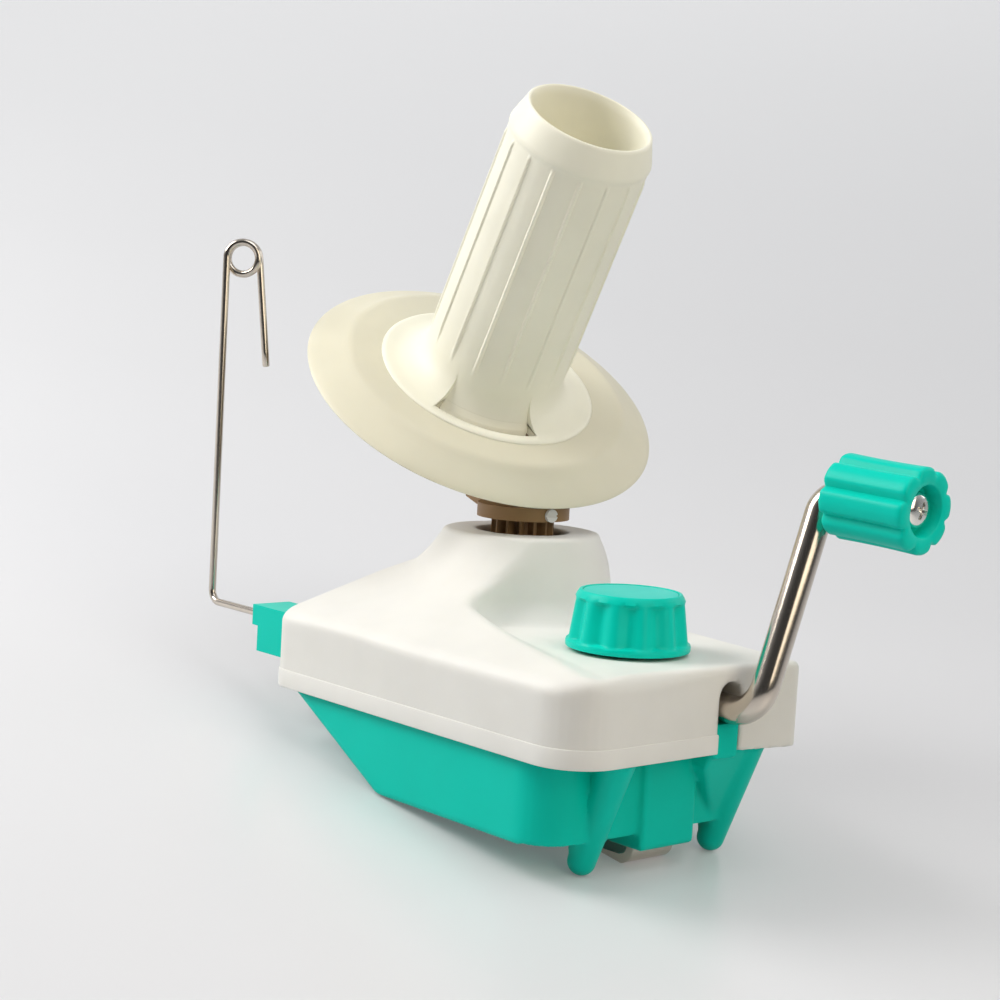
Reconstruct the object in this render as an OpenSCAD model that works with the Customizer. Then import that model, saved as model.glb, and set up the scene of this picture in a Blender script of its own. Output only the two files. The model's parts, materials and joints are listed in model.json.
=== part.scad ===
// Yarn ball winder with table clamp, crank, orbiting tilted bobbin and yarn guide.
// Millimetres. Z up, X along the body towards the crank end, Y towards the back.
// Zero is on the seat face under the body, where it stands on a table top.

/* [Body] */
// thickness of the moulded walls
wall = 2.4; // [2:0.1:2.8]
// front wall to spindle axis
front_y = 71.3; // [69:0.1:78]
// guide end wall to spindle axis
left_x = 33; // [32:0.1:36]
// crank end wall to spindle axis
end_x = 103.5; // [102.5:0.1:108]
// back corner at the crank end, behind the spindle axis
back_end_y = 12; // [11:0.1:16]
// back corner at the guide end, behind the spindle axis
back_left_y = 34; // [33:0.1:40]
// height of the parting line between lower housing and cover
parting_z = 23.7; // [22.5:0.1:24.5]
// height of the front eave of the cover
eave_z = 46; // [45:0.1:47]
// height of the shelf that carries the clamp knob
shelf_z = 48; // [47.8:0.1:50]
// slope of the front roof
roof_angle = 15; // [14:0.5:16]
// height of the top of the neck
neck_top_z = 72.9; // [72:0.1:74.5]
// radius of the opening in the top of the neck
neck_hole_r = 13.8; // [12.5:0.1:15]
// length of the flat under the body that is cut away by the slanted bow
bow_run = 40; // [36:0.5:44]

/* [Bobbin] */
// tilt of the bobbin axis from upright
lean = 33; // [32.5:0.1:33.5]
// radius of the plate
plate_r = 58.8; // [56:0.1:60]
// radius of the flat top of the plate
plate_flat_r = 48; // [46:0.1:50]
// height of the skirt of the plate
skirt_h = 7.3; // [7.1:0.1:8]
// length of the bobbin above the rim of the plate
bobbin_len = 104; // [96:0.5:112]
// radius of the barrel at the bottom
barrel_foot_r = 23.2; // [22.8:0.1:23.8]
// radius of the barrel at the top of the ribs
barrel_top_r = 22.4; // [21.8:0.1:23]
// radius of the open mouth
mouth_r = 19.7; // [18.8:0.1:20.6]
// ribs round the barrel
rib_count = 16; // [12:1:20]
// height of a rib
rib_h = 0.6; // [0.4:0.1:0.9]

/* [Drive] */
// height of the crank axis
crank_z = 36; // [35.6:0.1:36.4]
// turn of the crank axis from the long axis of the body
crank_turn = 6.4; // [5.9:0.1:6.9]
// radius of the bent crank rod
rod_r = 4; // [3.8:0.05:4.2]
// throw of the crank
crank_throw = 64.5; // [54:0.1:72]
// lean of the crank arm from upright
arm_angle = 17.7; // [-30:0.1:30]
// distance of the crank arm from the spindle axis
arm_reach = 114.7; // [114:0.1:122]
// turn of the grip pin towards the back
pin_turn = 10; // [0:0.5:14]
// length of the grip
grip_len = 27; // [26:0.1:34]
// radius of the grip
grip_r = 12; // [11:0.1:13]
// radius of the spindle post
post_r = 3; // [2.8:0.05:3.2]
// running clearance of a shaft in its hole
run_gap = 0.05; // [0.03:0.01:0.08]

/* [Clamp] */
// distance of the clamp screw from the spindle axis
screw_x = 73.4; // [71:0.1:74.5]
// radius of the clamp screw
screw_r = 4; // [3.6:0.1:4.2]
// radius of the knob at its foot
knob_r = 17.8; // [16:0.1:19]
// height of the knob
knob_h = 16.2; // [14:0.1:18]
// hollows round the knob
knob_flutes = 12; // [10:1:16]
// width of the jaw strip
jaw_w = 16; // [12:0.1:16.4]
// thickness of the jaw strip
jaw_t = 2.5; // [2:0.1:2.8]

/* [Yarn guide] */
// radius of the guide wire
wire_r = 1.2; // [1:0.05:1.4]
// reach of the guide wire from the spindle axis
wire_reach = 90.6; // [84:0.1:100]
// height of the middle of the eye
eye_z = 153.5; // [135:0.5:165]
// radius of the eye
eye_r = 5.2; // [4.5:0.1:6]

/* [Hidden] */
$fn = 64;
spindle_x = -50;
spindle_y = 23.3;
clamp_y = -23.3;
lean_turn = -10.7;
bow_foot_x = 20;
base_inset = 2;
base_end_x = 92;
base_back_y = back_end_y - 4;
seat_end_x = 82.2;
seat_step = 0.6;
seat_gap = 0.02;
inner_bush_s = 24;
outer_bush_s = 85;
lip_gap = 0.15;
slot_half = 4.5;
slot_rise = 3.1;
tongue_half = slot_half - 0.2;
slot_y = -end_x * tan(crank_turn);
back_eave_z = 50;
back_angle = 16;
neck_waist_r = 26;
neck_waist_z = 68;
neck_arc_r = 20;
neck_drum_r = 30;
band_h = 5.5;
band_out = 0.35;
crown_teeth = 36;
pinion_teeth = 14;
tooth_module = 1.25;
crown_mid_r = crown_teeth * tooth_module / 2;
crown_face = 10.3;
crown_back = 13.3;
crown_hub_r = rod_r + 4;
bush_r = rod_r + 1.6;
flange_r = rod_r + 2.9;
collar_r = rod_r + 3;
pillar_rise = 7;
tongue_gap = 0.4;
recess_r = rod_r + 2.5;
pinion_r = pinion_teeth * tooth_module / 2;
pinion_z0 = 56;
disc_r = 14.6;
disc_z0 = 77;
disc_z1 = 81.2;
post_boss_r = 6.5;
post_boss_z = 54.4;
sun_teeth = 10;
ring_teeth = 44;
cone_len = 73.6;
gear_face = 4.5;
sun_half = atan(sin(lean) / (ring_teeth / sun_teeth + cos(lean)));
ring_half = lean - sun_half;
slab_top = -10.2;
slab_bottom = -15.4;
sun_seat = 6.895;
ring_seat = 1.66;
sun_axial = cone_len * cos(sun_half);
ring_axial = cone_len * cos(ring_half);
apex_z = disc_z1 + sun_seat + sun_axial;
apex_s = slab_top + ring_seat + ring_axial;
axle_r = 3;
hub_r = 6.5;
hub_top = 60;
shell = 2;
pad_h = 0.7;
pad_r = 35.6;
bracket_y0 = -62;
bracket_y1 = -48;
bracket_z0 = 29.5;
bracket_z1 = 44;
bracket_x0 = -57;
wire_y = -55.5;
wire_z = 39.8;
lid_r = knob_r - 4.2;
wire_joint_r = wire_r + 0.06;
eye_step = 2 * wire_r + 0.5;
tail_lean = 6;
tail_len = 36;
jaw_x = 86;
jaw_arm_z = 34;
jaw_r = 3;
jaw_low_z = -4.3;
clamp_travel = 28;
pocket_z = jaw_arm_z - clamp_travel - jaw_r - 0.1;
prong_x = 86.5;
prong_z = -6;
prong_r = 4;
prong_top_x = 102;
prong_lean = 21;
screw_spots = [[30, -60], [77, -60], [64, 9], [29, 15]];

outline = [
    [-left_x, -front_y],
    [end_x, -front_y],
    [end_x, slot_y + 5],
    [end_x + 3.8, back_end_y],
    [-left_x, back_left_y]];
outline_radii = [11, 15, 0, 5, 12];
tub_outline = [
    [base_inset - left_x, base_inset - front_y],
    [base_end_x, base_inset - front_y],
    [base_end_x, base_back_y],
    [base_inset - left_x, back_left_y - base_inset]];
tub_radii = [9, 12, 10, 10];
scoop = [[140, -76.5], [140, 70], [16.6, 70], [16.6, -12], [17.2, -37]];
scoop_radii = [0, 0, 0, 0, 7];

function unit(v) = v / norm(v);
function side(v) = [v[1], -v[0]];
function grown_point(p, a, b, d) =
    let (na = side(unit(p - a)), nb = side(unit(b - p)))
    p + (na + nb) * d / (1 + na * nb);
function grown(pts, d) =
    let (n = len(pts))
    [for (i = [0 : n - 1]) grown_point(pts[i], pts[(i + n - 1) % n], pts[(i + 1) % n], d)];

// Placing helpers

module place() translate([spindle_x, spindle_y, 0]) children();

module along_crank() translate([0, 0, crank_z]) rotate([0, 0, -crank_turn]) rotate([0, 90, 0]) children();

module on_bobbin()
    translate([0, 0, apex_z]) rotate([0, lean, lean_turn]) translate([0, 0, -apex_s]) children();

module ring(r, hole_r, z0, z1)
    translate([0, 0, z0]) difference() {
        cylinder(r = r, h = z1 - z0);
        translate([0, 0, -1]) cylinder(r = hole_r, h = z1 - z0 + 2);
    }

// Plan outlines

module corner(p, a, b, r) {
    u = unit(a - p);
    v = unit(b - p);
    half = acos(u * v) / 2;
    c = p + unit(u + v) * r / sin(half);
    difference() {
        polygon([p + u * r / tan(half), p - unit(u + v), p + v * r / tan(half), c]);
        translate(c) circle(r = r);
    }
}

module rounded(pts, radii) {
    n = len(pts);
    difference() {
        polygon(pts);
        for (i = [0 : n - 1])
            if (radii[i] > 0) corner(pts[i], pts[(i + n - 1) % n], pts[(i + 1) % n], radii[i]);
    }
}

module plan(d) rounded(grown(outline, d), [for (r = outline_radii) r > 0 ? max(r + d, 0.4) : 0]);

module tub_plan(d) rounded(grown(tub_outline, d), [for (r = tub_radii) max(r + d, 0.4)]);

// Cover

module under_front_roof(d)
    translate([-200, -front_y, eave_z - d / cos(roof_angle)]) rotate([roof_angle, 0, 0])
        translate([0, -60, -200]) cube([500, 400, 200]);

module under_back_roof(d)
    translate([-200, back_left_y, back_eave_z - d / cos(back_angle)]) rotate([-back_angle, 0, 0])
        translate([0, -340, -200]) cube([500, 400, 200]);

module neck_flare(d)
    rotate_extrude() difference() {
        translate([0, 44]) square([neck_waist_r + neck_arc_r - 0.5, neck_top_z - d - 44]);
        translate([neck_waist_r + neck_arc_r, neck_waist_z]) circle(r = neck_arc_r + d);
    }

module cover_mass(d, z0)
    difference() {
        intersection() {
            translate([0, 0, z0]) linear_extrude(height = 90 - z0) plan(-d);
            union() {
                intersection() {
                    under_front_roof(d);
                    under_back_roof(d);
                }
                neck_flare(d);
            }
        }
        translate([0, 0, shelf_z - d]) linear_extrude(height = 60) difference() {
            rounded(grown(scoop, d), [for (r = scoop_radii) r > 0 ? r + d : 0]);
            circle(r = neck_drum_r - d);
        }
    }

module upper_cover()
    color([0.95, 0.95, 0.93]) place() difference() {
        union() {
            difference() {
                union() {
                    cover_mass(0, parting_z);
                    translate([0, 0, parting_z]) linear_extrude(height = band_h) plan(band_out);
                }
                cover_mass(wall, parting_z - 1);
            }
            for (p = screw_spots)
                translate([p[0], p[1], parting_z + 2.6]) cylinder(r = 3.8, h = 47 - parting_z - 2.6);
        }
        translate([0, 0, 55]) cylinder(r = neck_hole_r, h = 30);
        along_crank() {
            translate([-slot_rise, 0, 94]) cylinder(r = slot_half, h = 30);
            translate([-slot_rise, -slot_half, 94]) cube([40, 2 * slot_half, 30]);
        }
        translate([-left_x - 10, bracket_y0 - lip_gap, bracket_z0 - lip_gap])
            cube([15, bracket_y1 - bracket_y0 + 2 * lip_gap, bracket_z1 - bracket_z0 + 2 * lip_gap]);
        translate([screw_x, clamp_y, 40]) cylinder(r = screw_r + run_gap, h = 12);
        for (p = screw_spots)
            translate([p[0], p[1], 20]) cylinder(r = 1.55, h = 22);
    }

// Lower housing

module above_bow(d)
    translate([bow_foot_x, 0, 0]) rotate([0, atan(parting_z / bow_run), 0])
        translate([-200, -150, d]) cube([500, 300, 200]);

module tub(d, z0, z1)
    intersection() {
        translate([0, 0, z0]) linear_extrude(height = z1 - z0) tub_plan(-d);
        above_bow(d);
    }

module prong(y) {
    translate([prong_x, y, prong_z]) {
        sphere(r = prong_r);
        rotate([0, prong_lean, 0]) cylinder(r = prong_r, h = 34);
    }
    translate([0, y + 2.5, 0]) rotate([90, 0, 0]) linear_extrude(height = 5)
        polygon([[84, parting_z], [96, parting_z], [prong_x + 1, prong_z + 2], [83.4, prong_z + 3]]);
}

// Web that runs from the back prong to the foot of the slot
module slot_web(y)
    intersection() {
        translate([0, y, 0]) rotate([90, 0, 0]) linear_extrude(height = y - slot_y + slot_half)
            polygon([[88, parting_z], [prong_top_x, parting_z], [prong_x + 2.5, prong_z + 2], [88, prong_z + 2]]);
        translate([80, 0, 0]) rotate([90, 0, 90]) linear_extrude(height = 40)
            polygon([[slot_y - slot_half, parting_z], [y, parting_z], [y, prong_z + 2], [y - 2, prong_z + 2],
                [slot_y - slot_half, parting_z - 5]]);
    }

module pillar(s)
    along_crank() translate([-pillar_rise, -8, s]) cube([crank_z + pillar_rise - 1, 16, 6]);

module lower_housing()
    color([0.05, 0.72, 0.65]) place() difference() {
        union() {
            difference() {
                union() {
                    difference() {
                        tub(0, 0, parting_z);
                        translate([seat_end_x, -100, -1]) cube([40, 200, 1 + seat_step]);
                    }
                    translate([0, 0, parting_z]) linear_extrude(height = 2.4) plan(-wall - lip_gap);
                    translate([82.5, clamp_y - 10.5, -4]) cube([11.5, 21, parting_z + 4.5]);
                    intersection() {
                        union() {
                            prong(clamp_y - 25.6);
                            prong(clamp_y + 25.6);
                            slot_web(clamp_y + 25.6);
                        }
                        translate([60, -100, -20]) cube([60, 200, 20 + parting_z - 0.05]);
                    }
                    intersection() {
                        along_crank() translate([-15, -tongue_half, 90]) cube([30, 2 * tongue_half, 20]);
                        translate([94, -40, parting_z + 0.1])
                            cube([end_x - 0.1 - 94, 60, crank_z - rod_r - tongue_gap - parting_z - 0.1]);
                    }
                }
                difference() {
                    tub(wall, wall, 60);
                    translate([80.1, clamp_y - 12.9, -10]) cube([20, 25.8, 60]);
                }
            }
            intersection() {
                union() {
                    cylinder(r = post_boss_r, h = post_boss_z);
                    pillar(inner_bush_s);
                    pillar(outer_bush_s);
                    for (p = screw_spots) translate([p[0], p[1], 0]) cylinder(r = 4.4, h = parting_z + 2.4);
                }
                above_bow(0.6);
                linear_extrude(height = 70) tub_plan(-0.6);
            }
        }
        translate([0, 0, 18]) cylinder(r = post_r, h = 60);
        along_crank() {
            translate([0, 0, 22]) cylinder(r = bush_r + 0.05, h = 71);
            translate([0, 0, 6.9]) cylinder(r = crown_mid_r + 2.2, h = 7);
        }
        translate([jaw_x - lip_gap, clamp_y - jaw_w / 2 - 0.3, -12])
            cube([jaw_t + 2 * lip_gap, jaw_w + 0.6, 60]);
        translate([78, clamp_y - jaw_w / 2 - 0.3, pocket_z]) cube([9, jaw_w + 0.6, 60]);
        for (p = screw_spots) {
            translate([p[0], p[1], -1]) cylinder(r = 3.2, h = 4);
            translate([p[0], p[1], -1]) cylinder(r = 1.7, h = 40);
        }
        translate([-25.4, wire_y, 15]) cylinder(r = 1.7, h = 20);
    }

module cover_screw(i)
    color([0.75, 0.74, 0.72]) place() translate([screw_spots[i][0], screw_spots[i][1], 0]) difference() {
        union() {
            translate([0, 0, 0.8]) cylinder(r = 3, h = 2.2);
            cylinder(r = 1.5, h = 40);
            translate([0, 0, 0.8]) cylinder(r = 1.5, h = 38);
        }
        translate([-0.5, -4, -1]) cube([1, 8, 2.6]);
        translate([-4, -0.5, -1]) cube([8, 1, 2.6]);
    }

// Fixed spindle parts

module spindle_post()
    color([0.78, 0.77, 0.75]) place() {
        translate([0, 0, 18.2]) cylinder(r = post_r, h = apex_z - sun_axial + gear_face - 18);
        translate([0, 0, apex_z - sun_axial + gear_face + 0.2]) cylinder(r1 = post_r, r2 = post_r - 0.8, h = 0.8);
    }

module thrust_washer()
    color([0.85, 0.84, 0.8]) place() ring(6.2, post_r + 0.3, post_boss_z, pinion_z0 - 0.3);

// Gear outlines

function tooth_points(n, i, turn, r_root, r_mid, r_tip, w_root, w_mid, w_tip) =
    let (a = 360 * i / n + turn)
    [for (q = [[r_root, -w_root / 2], [r_mid, -w_mid / 2], [r_tip, -w_tip / 2],
               [r_tip, w_tip / 2], [r_mid, w_mid / 2], [r_root, w_root / 2]])
        [q[0] * cos(a) - q[1] * sin(a), q[0] * sin(a) + q[1] * cos(a)]];

module gear_outline(n, turn, r_root, r_mid, r_tip, w_root, w_mid, w_tip)
    polygon([for (i = [0 : n - 1])
        each tooth_points(n, i, turn, r_root, r_mid, r_tip, w_root, w_mid, w_tip)]);

module cone_gear(n, turn, axial, r_root, r_mid, r_tip, w_root, w_mid, w_tip)
    linear_extrude(height = gear_face, scale = (axial - gear_face) / axial)
        gear_outline(n, turn, r_root, r_mid, r_tip, w_root, w_mid, w_tip);

module sun_gear()
    color([0.35, 0.28, 0.2]) place() translate([0, 0, apex_z - sun_axial]) difference() {
        cone_gear(sun_teeth, lean_turn + 180, sun_axial, sun_axial * tan(sun_half - 1.15),
            sun_axial * tan(sun_half), sun_axial * tan(sun_half + 0.8), 2.0, 1.5, 0.8);
        translate([0, 0, -1]) cylinder(r = post_r + seat_gap, h = gear_face + 2);
    }

// Crank

module bush(s)
    along_crank() difference() {
        union() {
            translate([0, 0, s]) cylinder(r = bush_r, h = 6.2);
            translate([0, 0, s + 6.05]) cylinder(r = flange_r, h = 1.2);
        }
        translate([0, 0, s - 1]) cylinder(r = rod_r + run_gap, h = 10);
    }

module inner_bush() color([0.8, 0.66, 0.36]) place() bush(inner_bush_s);

module outer_bush() color([0.8, 0.66, 0.36]) place() bush(outer_bush_s);

module elbow(r, bend) rotate_extrude(angle = 90) translate([bend, 0]) circle(r = r);

module crank_rod()
    color([0.78, 0.76, 0.73]) place() along_crank() rotate([0, 0, 180 - arm_angle]) {
        translate([0, 0, 10.9]) cylinder(r = rod_r, h = arm_reach - 9 - 10.9);
        translate([9, 0, arm_reach - 9]) rotate([-90, 0, 180]) rotate([0, 0, -90]) elbow(rod_r, 9);
        translate([9, 0, arm_reach]) rotate([0, 90, 0]) cylinder(r = rod_r, h = crank_throw - 9 - 6);
        translate([crank_throw - 6, 0, arm_reach]) sphere(r = rod_r + 0.06);
        translate([0, 0, arm_reach]) rotate([pin_turn, 0, 0]) {
            translate([crank_throw - 6, 0, 6]) rotate([90, 0, 0]) rotate([0, 0, -90]) elbow(rod_r, 6);
            translate([crank_throw, 0, 6]) cylinder(r = rod_r, h = grip_len - 8.4);
        }
    }

module crown_gear()
    color([0.9, 0.88, 0.82]) place() along_crank() difference() {
        union() {
            translate([0, 0, crown_face]) cylinder(r = crown_mid_r + 1.6, h = crown_back - crown_face);
            translate([0, 0, crown_back - 0.5]) cylinder(r = crown_hub_r, h = 10.3 - crown_back + 13);
            for (i = [0 : crown_teeth - 1])
                rotate([0, 0, 180 + 360 * i / crown_teeth]) translate([crown_mid_r - 1.4, 0, crown_face])
                    rotate([90, 0, 90]) linear_extrude(height = 2.8)
                        polygon([[-0.85, 0.3], [-0.85, 0], [-0.35, -2.6], [0.35, -2.6], [0.85, 0], [0.85, 0.3]]);
        }
        cylinder(r = rod_r + seat_gap, h = 40);
    }

module crank_collar()
    color([0.7, 0.69, 0.67]) place() along_crank() difference() {
        translate([0, 0, 31.6]) cylinder(r = collar_r, h = 6);
        cylinder(r = rod_r + seat_gap, h = 60);
        translate([0, 0, 34.6]) rotate([0, -90, 0]) cylinder(r = 1.5, h = 10);
    }

module collar_screw()
    color([0.25, 0.25, 0.26]) place() along_crank() translate([-rod_r, 0, 34.6]) rotate([0, -90, 0])
        difference() {
            cylinder(r = 1.45, h = 2.9);
            translate([-0.3, -2, 2.1]) cube([0.6, 4, 2]);
        }

module on_grip()
    along_crank() rotate([0, 0, 180 - arm_angle]) translate([0, 0, arm_reach]) rotate([pin_turn, 0, 0])
        translate([crank_throw, 0, 6.2]) children();

module crank_grip()
    color([0.05, 0.72, 0.65]) place() on_grip() difference() {
        intersection() {
            linear_extrude(height = grip_len) union() {
                circle(r = grip_r - 0.9);
                for (i = [0 : 7]) rotate(45 * i) intersection() {
                    circle(r = grip_r);
                    translate([grip_r / 2, 0]) square([grip_r * 1.4, grip_r * 0.62], center = true);
                }
            }
            rotate_extrude() difference() {
                square([grip_r + 0.2, grip_len]);
                translate([grip_r + 150 - 0.8, grip_len / 2]) circle(r = 150, $fn = 360);
            }
        }
        translate([0, 0, -1]) cylinder(r = rod_r + run_gap, h = grip_len);
        translate([0, 0, grip_len - 5]) cylinder(r = recess_r, h = 8);
    }

module grip_screw()
    color([0.8, 0.79, 0.76]) place() on_grip() {
        translate([0, 0, grip_len - 8.6]) cylinder(r = rod_r - 0.4, h = 4);
        translate([0, 0, grip_len - 4.7]) cylinder(r = 5.2, h = 1.2);
        translate([0, 0, grip_len - 3.6]) cylinder(r = 3.8, h = 2.2);
    }

// Carrier

module carrier()
    color([0.55, 0.42, 0.28]) place() difference() {
        union() {
            translate([0, 0, pinion_z0]) linear_extrude(height = disc_z0 - pinion_z0 + 0.5)
                gear_outline(pinion_teeth, -crank_turn + 180 / pinion_teeth, pinion_r - 1.7, pinion_r,
                    pinion_r + 1.25, 2.1, 1.5, 0.8);
            translate([0, 0, disc_z0]) cylinder(r = disc_r, h = disc_z1 - disc_z0);
            intersection() {
                on_bobbin() translate([0, 0, slab_bottom]) {
                    cylinder(r = 9, h = slab_top - slab_bottom);
                    translate([0, -9, 0]) cube([52, 18, slab_top - slab_bottom]);
                }
                translate([-100, -100, disc_z0 + 0.5]) cube([200, 200, 100]);
            }
            intersection() {
                rotate([90, 0, lean_turn]) translate([0, 0, -3.5]) linear_extrude(height = 7)
                    polygon([[4, disc_z0 + 0.5], [-20, disc_z0 + 0.5], [-31, disc_z0 + 3.2],
                        [-33, disc_z0 + 7], [-30, disc_z0 + 24], [0, disc_z0 + 24]]);
                on_bobbin() translate([-100, -100, slab_bottom - 60 + 1]) cube([200, 200, 60]);
            }
            intersection() {
                translate([0, 0, disc_z0]) cylinder(r = 9, h = 20);
                on_bobbin() translate([-100, -100, slab_top - 60]) cube([200, 200, 60]);
            }
        }
        translate([0, 0, 50]) cylinder(r = post_r + run_gap, h = 60);
        on_bobbin() translate([0, 0, slab_bottom - 20]) cylinder(r = axle_r, h = 40);
        on_bobbin() translate([0, 0, slab_bottom - 20]) cylinder(r = 6.6, h = 20);
        rotate([0, 0, lean_turn + 4]) translate([0, 0, (disc_z0 + disc_z1) / 2]) rotate([0, 90, 0])
            translate([0, 0, 7]) cylinder(r = 1.5, h = 20);
    }

module carrier_screw()
    color([0.82, 0.81, 0.8]) place()
        rotate([0, 0, lean_turn + 4]) translate([0, 0, (disc_z0 + disc_z1) / 2]) rotate([0, 90, 0])
            difference() {
                union() {
                    translate([0, 0, 7.2]) cylinder(r = 1.45, h = 7.8);
                    translate([0, 0, disc_r + 0.05]) cylinder(r = 2.05, h = 1.1);
                }
                translate([-0.35, -3, disc_r + 0.6]) cube([0.7, 6, 3]);
            }

module tilted_axle()
    color([0.78, 0.77, 0.75]) place() on_bobbin()
        translate([0, 0, slab_bottom - 3.2]) cylinder(r = axle_r, h = hub_top + 0.42 - slab_bottom + 3.2);

module axle_nut()
    color([0.3, 0.3, 0.31]) place() on_bobbin() difference() {
        translate([0, 0, slab_bottom - 2.8]) cylinder(r = 5.6, h = 2.75, $fn = 6);
        translate([0, 0, slab_bottom - 10]) cylinder(r = axle_r + seat_gap, h = 20);
    }

module bobbin_washer()
    color([0.8, 0.79, 0.77]) place() on_bobbin() ring(5.6, 2.1, hub_top + 0.42, hub_top + 1.6);

module axle_screw()
    color([0.8, 0.79, 0.77]) place() on_bobbin() {
        translate([0, 0, hub_top + 0.42]) cylinder(r = 2, h = 2);
        translate([0, 0, hub_top + 1.62]) cylinder(r = 4, h = 2.2);
    }

// Bobbin

rib_z0 = 19;
rib_z1 = bobbin_len - 10;

module barrel_profile(d)
    difference() {
        polygon([
            [0, skirt_h + pad_h / 2], [barrel_foot_r + 5 - d, skirt_h + pad_h / 2],
            [barrel_foot_r + 5 - d, skirt_h + pad_h], [barrel_foot_r - d, skirt_h + pad_h + 7],
            [barrel_foot_r - d, rib_z0], [barrel_top_r - d, rib_z1 - 0.6],
            [barrel_top_r + rib_h - d, rib_z1], [barrel_top_r + rib_h - 0.3 - d, rib_z1 + 1.6],
            [mouth_r - d, bobbin_len], [0, bobbin_len]]);
        translate([barrel_foot_r + 7 - d, skirt_h + pad_h + 7]) circle(r = 7);
    }

module bobbin_barrel()
    color([0.95, 0.93, 0.84]) place() on_bobbin() difference() {
        union() {
            difference() {
                union() {
                    rotate_extrude() barrel_profile(0);
                    for (i = [0 : rib_count - 1])
                        rotate([0, 0, 360 * i / rib_count - 1.5]) translate([barrel_foot_r, 0, rib_z0])
                            rotate([0, -atan((barrel_foot_r - barrel_top_r) / (rib_z1 - rib_z0)), 0])
                                translate([-1, -0.65, 0]) cube([1 + rib_h, 1.3, rib_z1 - rib_z0]);
                    translate([0, 0, skirt_h]) cylinder(r = pad_r, h = pad_h);
                    translate([0, 0, skirt_h - 2.1]) cylinder(r = barrel_foot_r + 0.5, h = 3);
                }
                rotate_extrude() polygon([
                    [0, 2], [barrel_foot_r - shell, 2], [barrel_foot_r - shell, rib_z0],
                    [barrel_top_r - shell, rib_z1], [mouth_r - shell + 0.4, bobbin_len + 0.01],
                    [mouth_r - shell + 0.4, bobbin_len + 5], [0, bobbin_len + 5]]);
            }
            translate([0, 0, slab_top + 0.3]) cylinder(r = hub_r, h = hub_top - slab_top - 0.3);
            translate([0, 0, hub_top - 3]) cylinder(r = barrel_foot_r - 1.2, h = 3);
            translate([0, 0, skirt_h - 2.1]) cylinder(r = barrel_foot_r - 0.5, h = 2.4);
        }
        translate([0, 0, slab_top - 5]) cylinder(r = axle_r + run_gap, h = 100);
        rotate([0, 0, -56]) rotate_extrude(angle = 64) translate([26.2, 0]) square([6, 30]);
    }

module bobbin_plate()
    color([0.95, 0.93, 0.84]) place() on_bobbin() difference() {
        rotate_extrude() polygon([
            [barrel_foot_r + 0.52, skirt_h], [plate_flat_r, skirt_h], [plate_r, 0.6], [plate_r, 0],
            [plate_r - 1.6, 0], [plate_flat_r - 0.8, skirt_h - 2.1], [barrel_foot_r + 0.52, skirt_h - 2.1]]);
        rotate([0, 0, -56]) rotate_extrude(angle = 64) translate([26.2, 0]) square([6, 30]);
    }

module bobbin_gear()
    color([0.5, 0.38, 0.25]) place() on_bobbin() difference() {
        union() {
            translate([0, 0, apex_s - ring_axial])
                cone_gear(ring_teeth, 180 / ring_teeth, ring_axial, ring_axial * tan(ring_half - 1.15),
                    ring_axial * tan(ring_half), ring_axial * tan(ring_half + 0.75), 1.9, 1.4, 0.8);
            translate([0, 0, apex_s - ring_axial + gear_face - 0.5])
                cylinder(r = 25, h = skirt_h - 2.1 - (apex_s - ring_axial + gear_face - 0.5));
        }
        translate([0, 0, -30]) cylinder(r = 21, h = 60);
    }

// Yarn guide

module guide_bracket()
    color([0.05, 0.72, 0.65]) place() difference() {
        union() {
            translate([bracket_x0, bracket_y0, bracket_z0])
                cube([-left_x + wall + 2 - bracket_x0, bracket_y1 - bracket_y0, bracket_z1 - bracket_z0]);
            translate([-left_x + wall + lip_gap, bracket_y0, parting_z + 2.4])
                cube([9.6, bracket_y1 - bracket_y0, bracket_z1 - parting_z - 2.4]);
        }
        translate([bracket_x0 - 1, wire_y, wire_z]) rotate([0, 90, 0]) cylinder(r = wire_r + run_gap, h = 17);
        translate([bracket_x0 - 1, bracket_y0 - 1, bracket_z0 - 1]) cube([4, 20, 9]);
        translate([-25.4, wire_y, 20]) cylinder(r = 1.5, h = 20);
    }

module bracket_screw()
    color([0.75, 0.74, 0.72]) place() translate([-25.4, wire_y, 0]) {
        translate([0, 0, parting_z - 2]) cylinder(r = 3, h = 1.95);
        translate([0, 0, parting_z - 1]) cylinder(r = 1.45, h = 16);
    }

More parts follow.
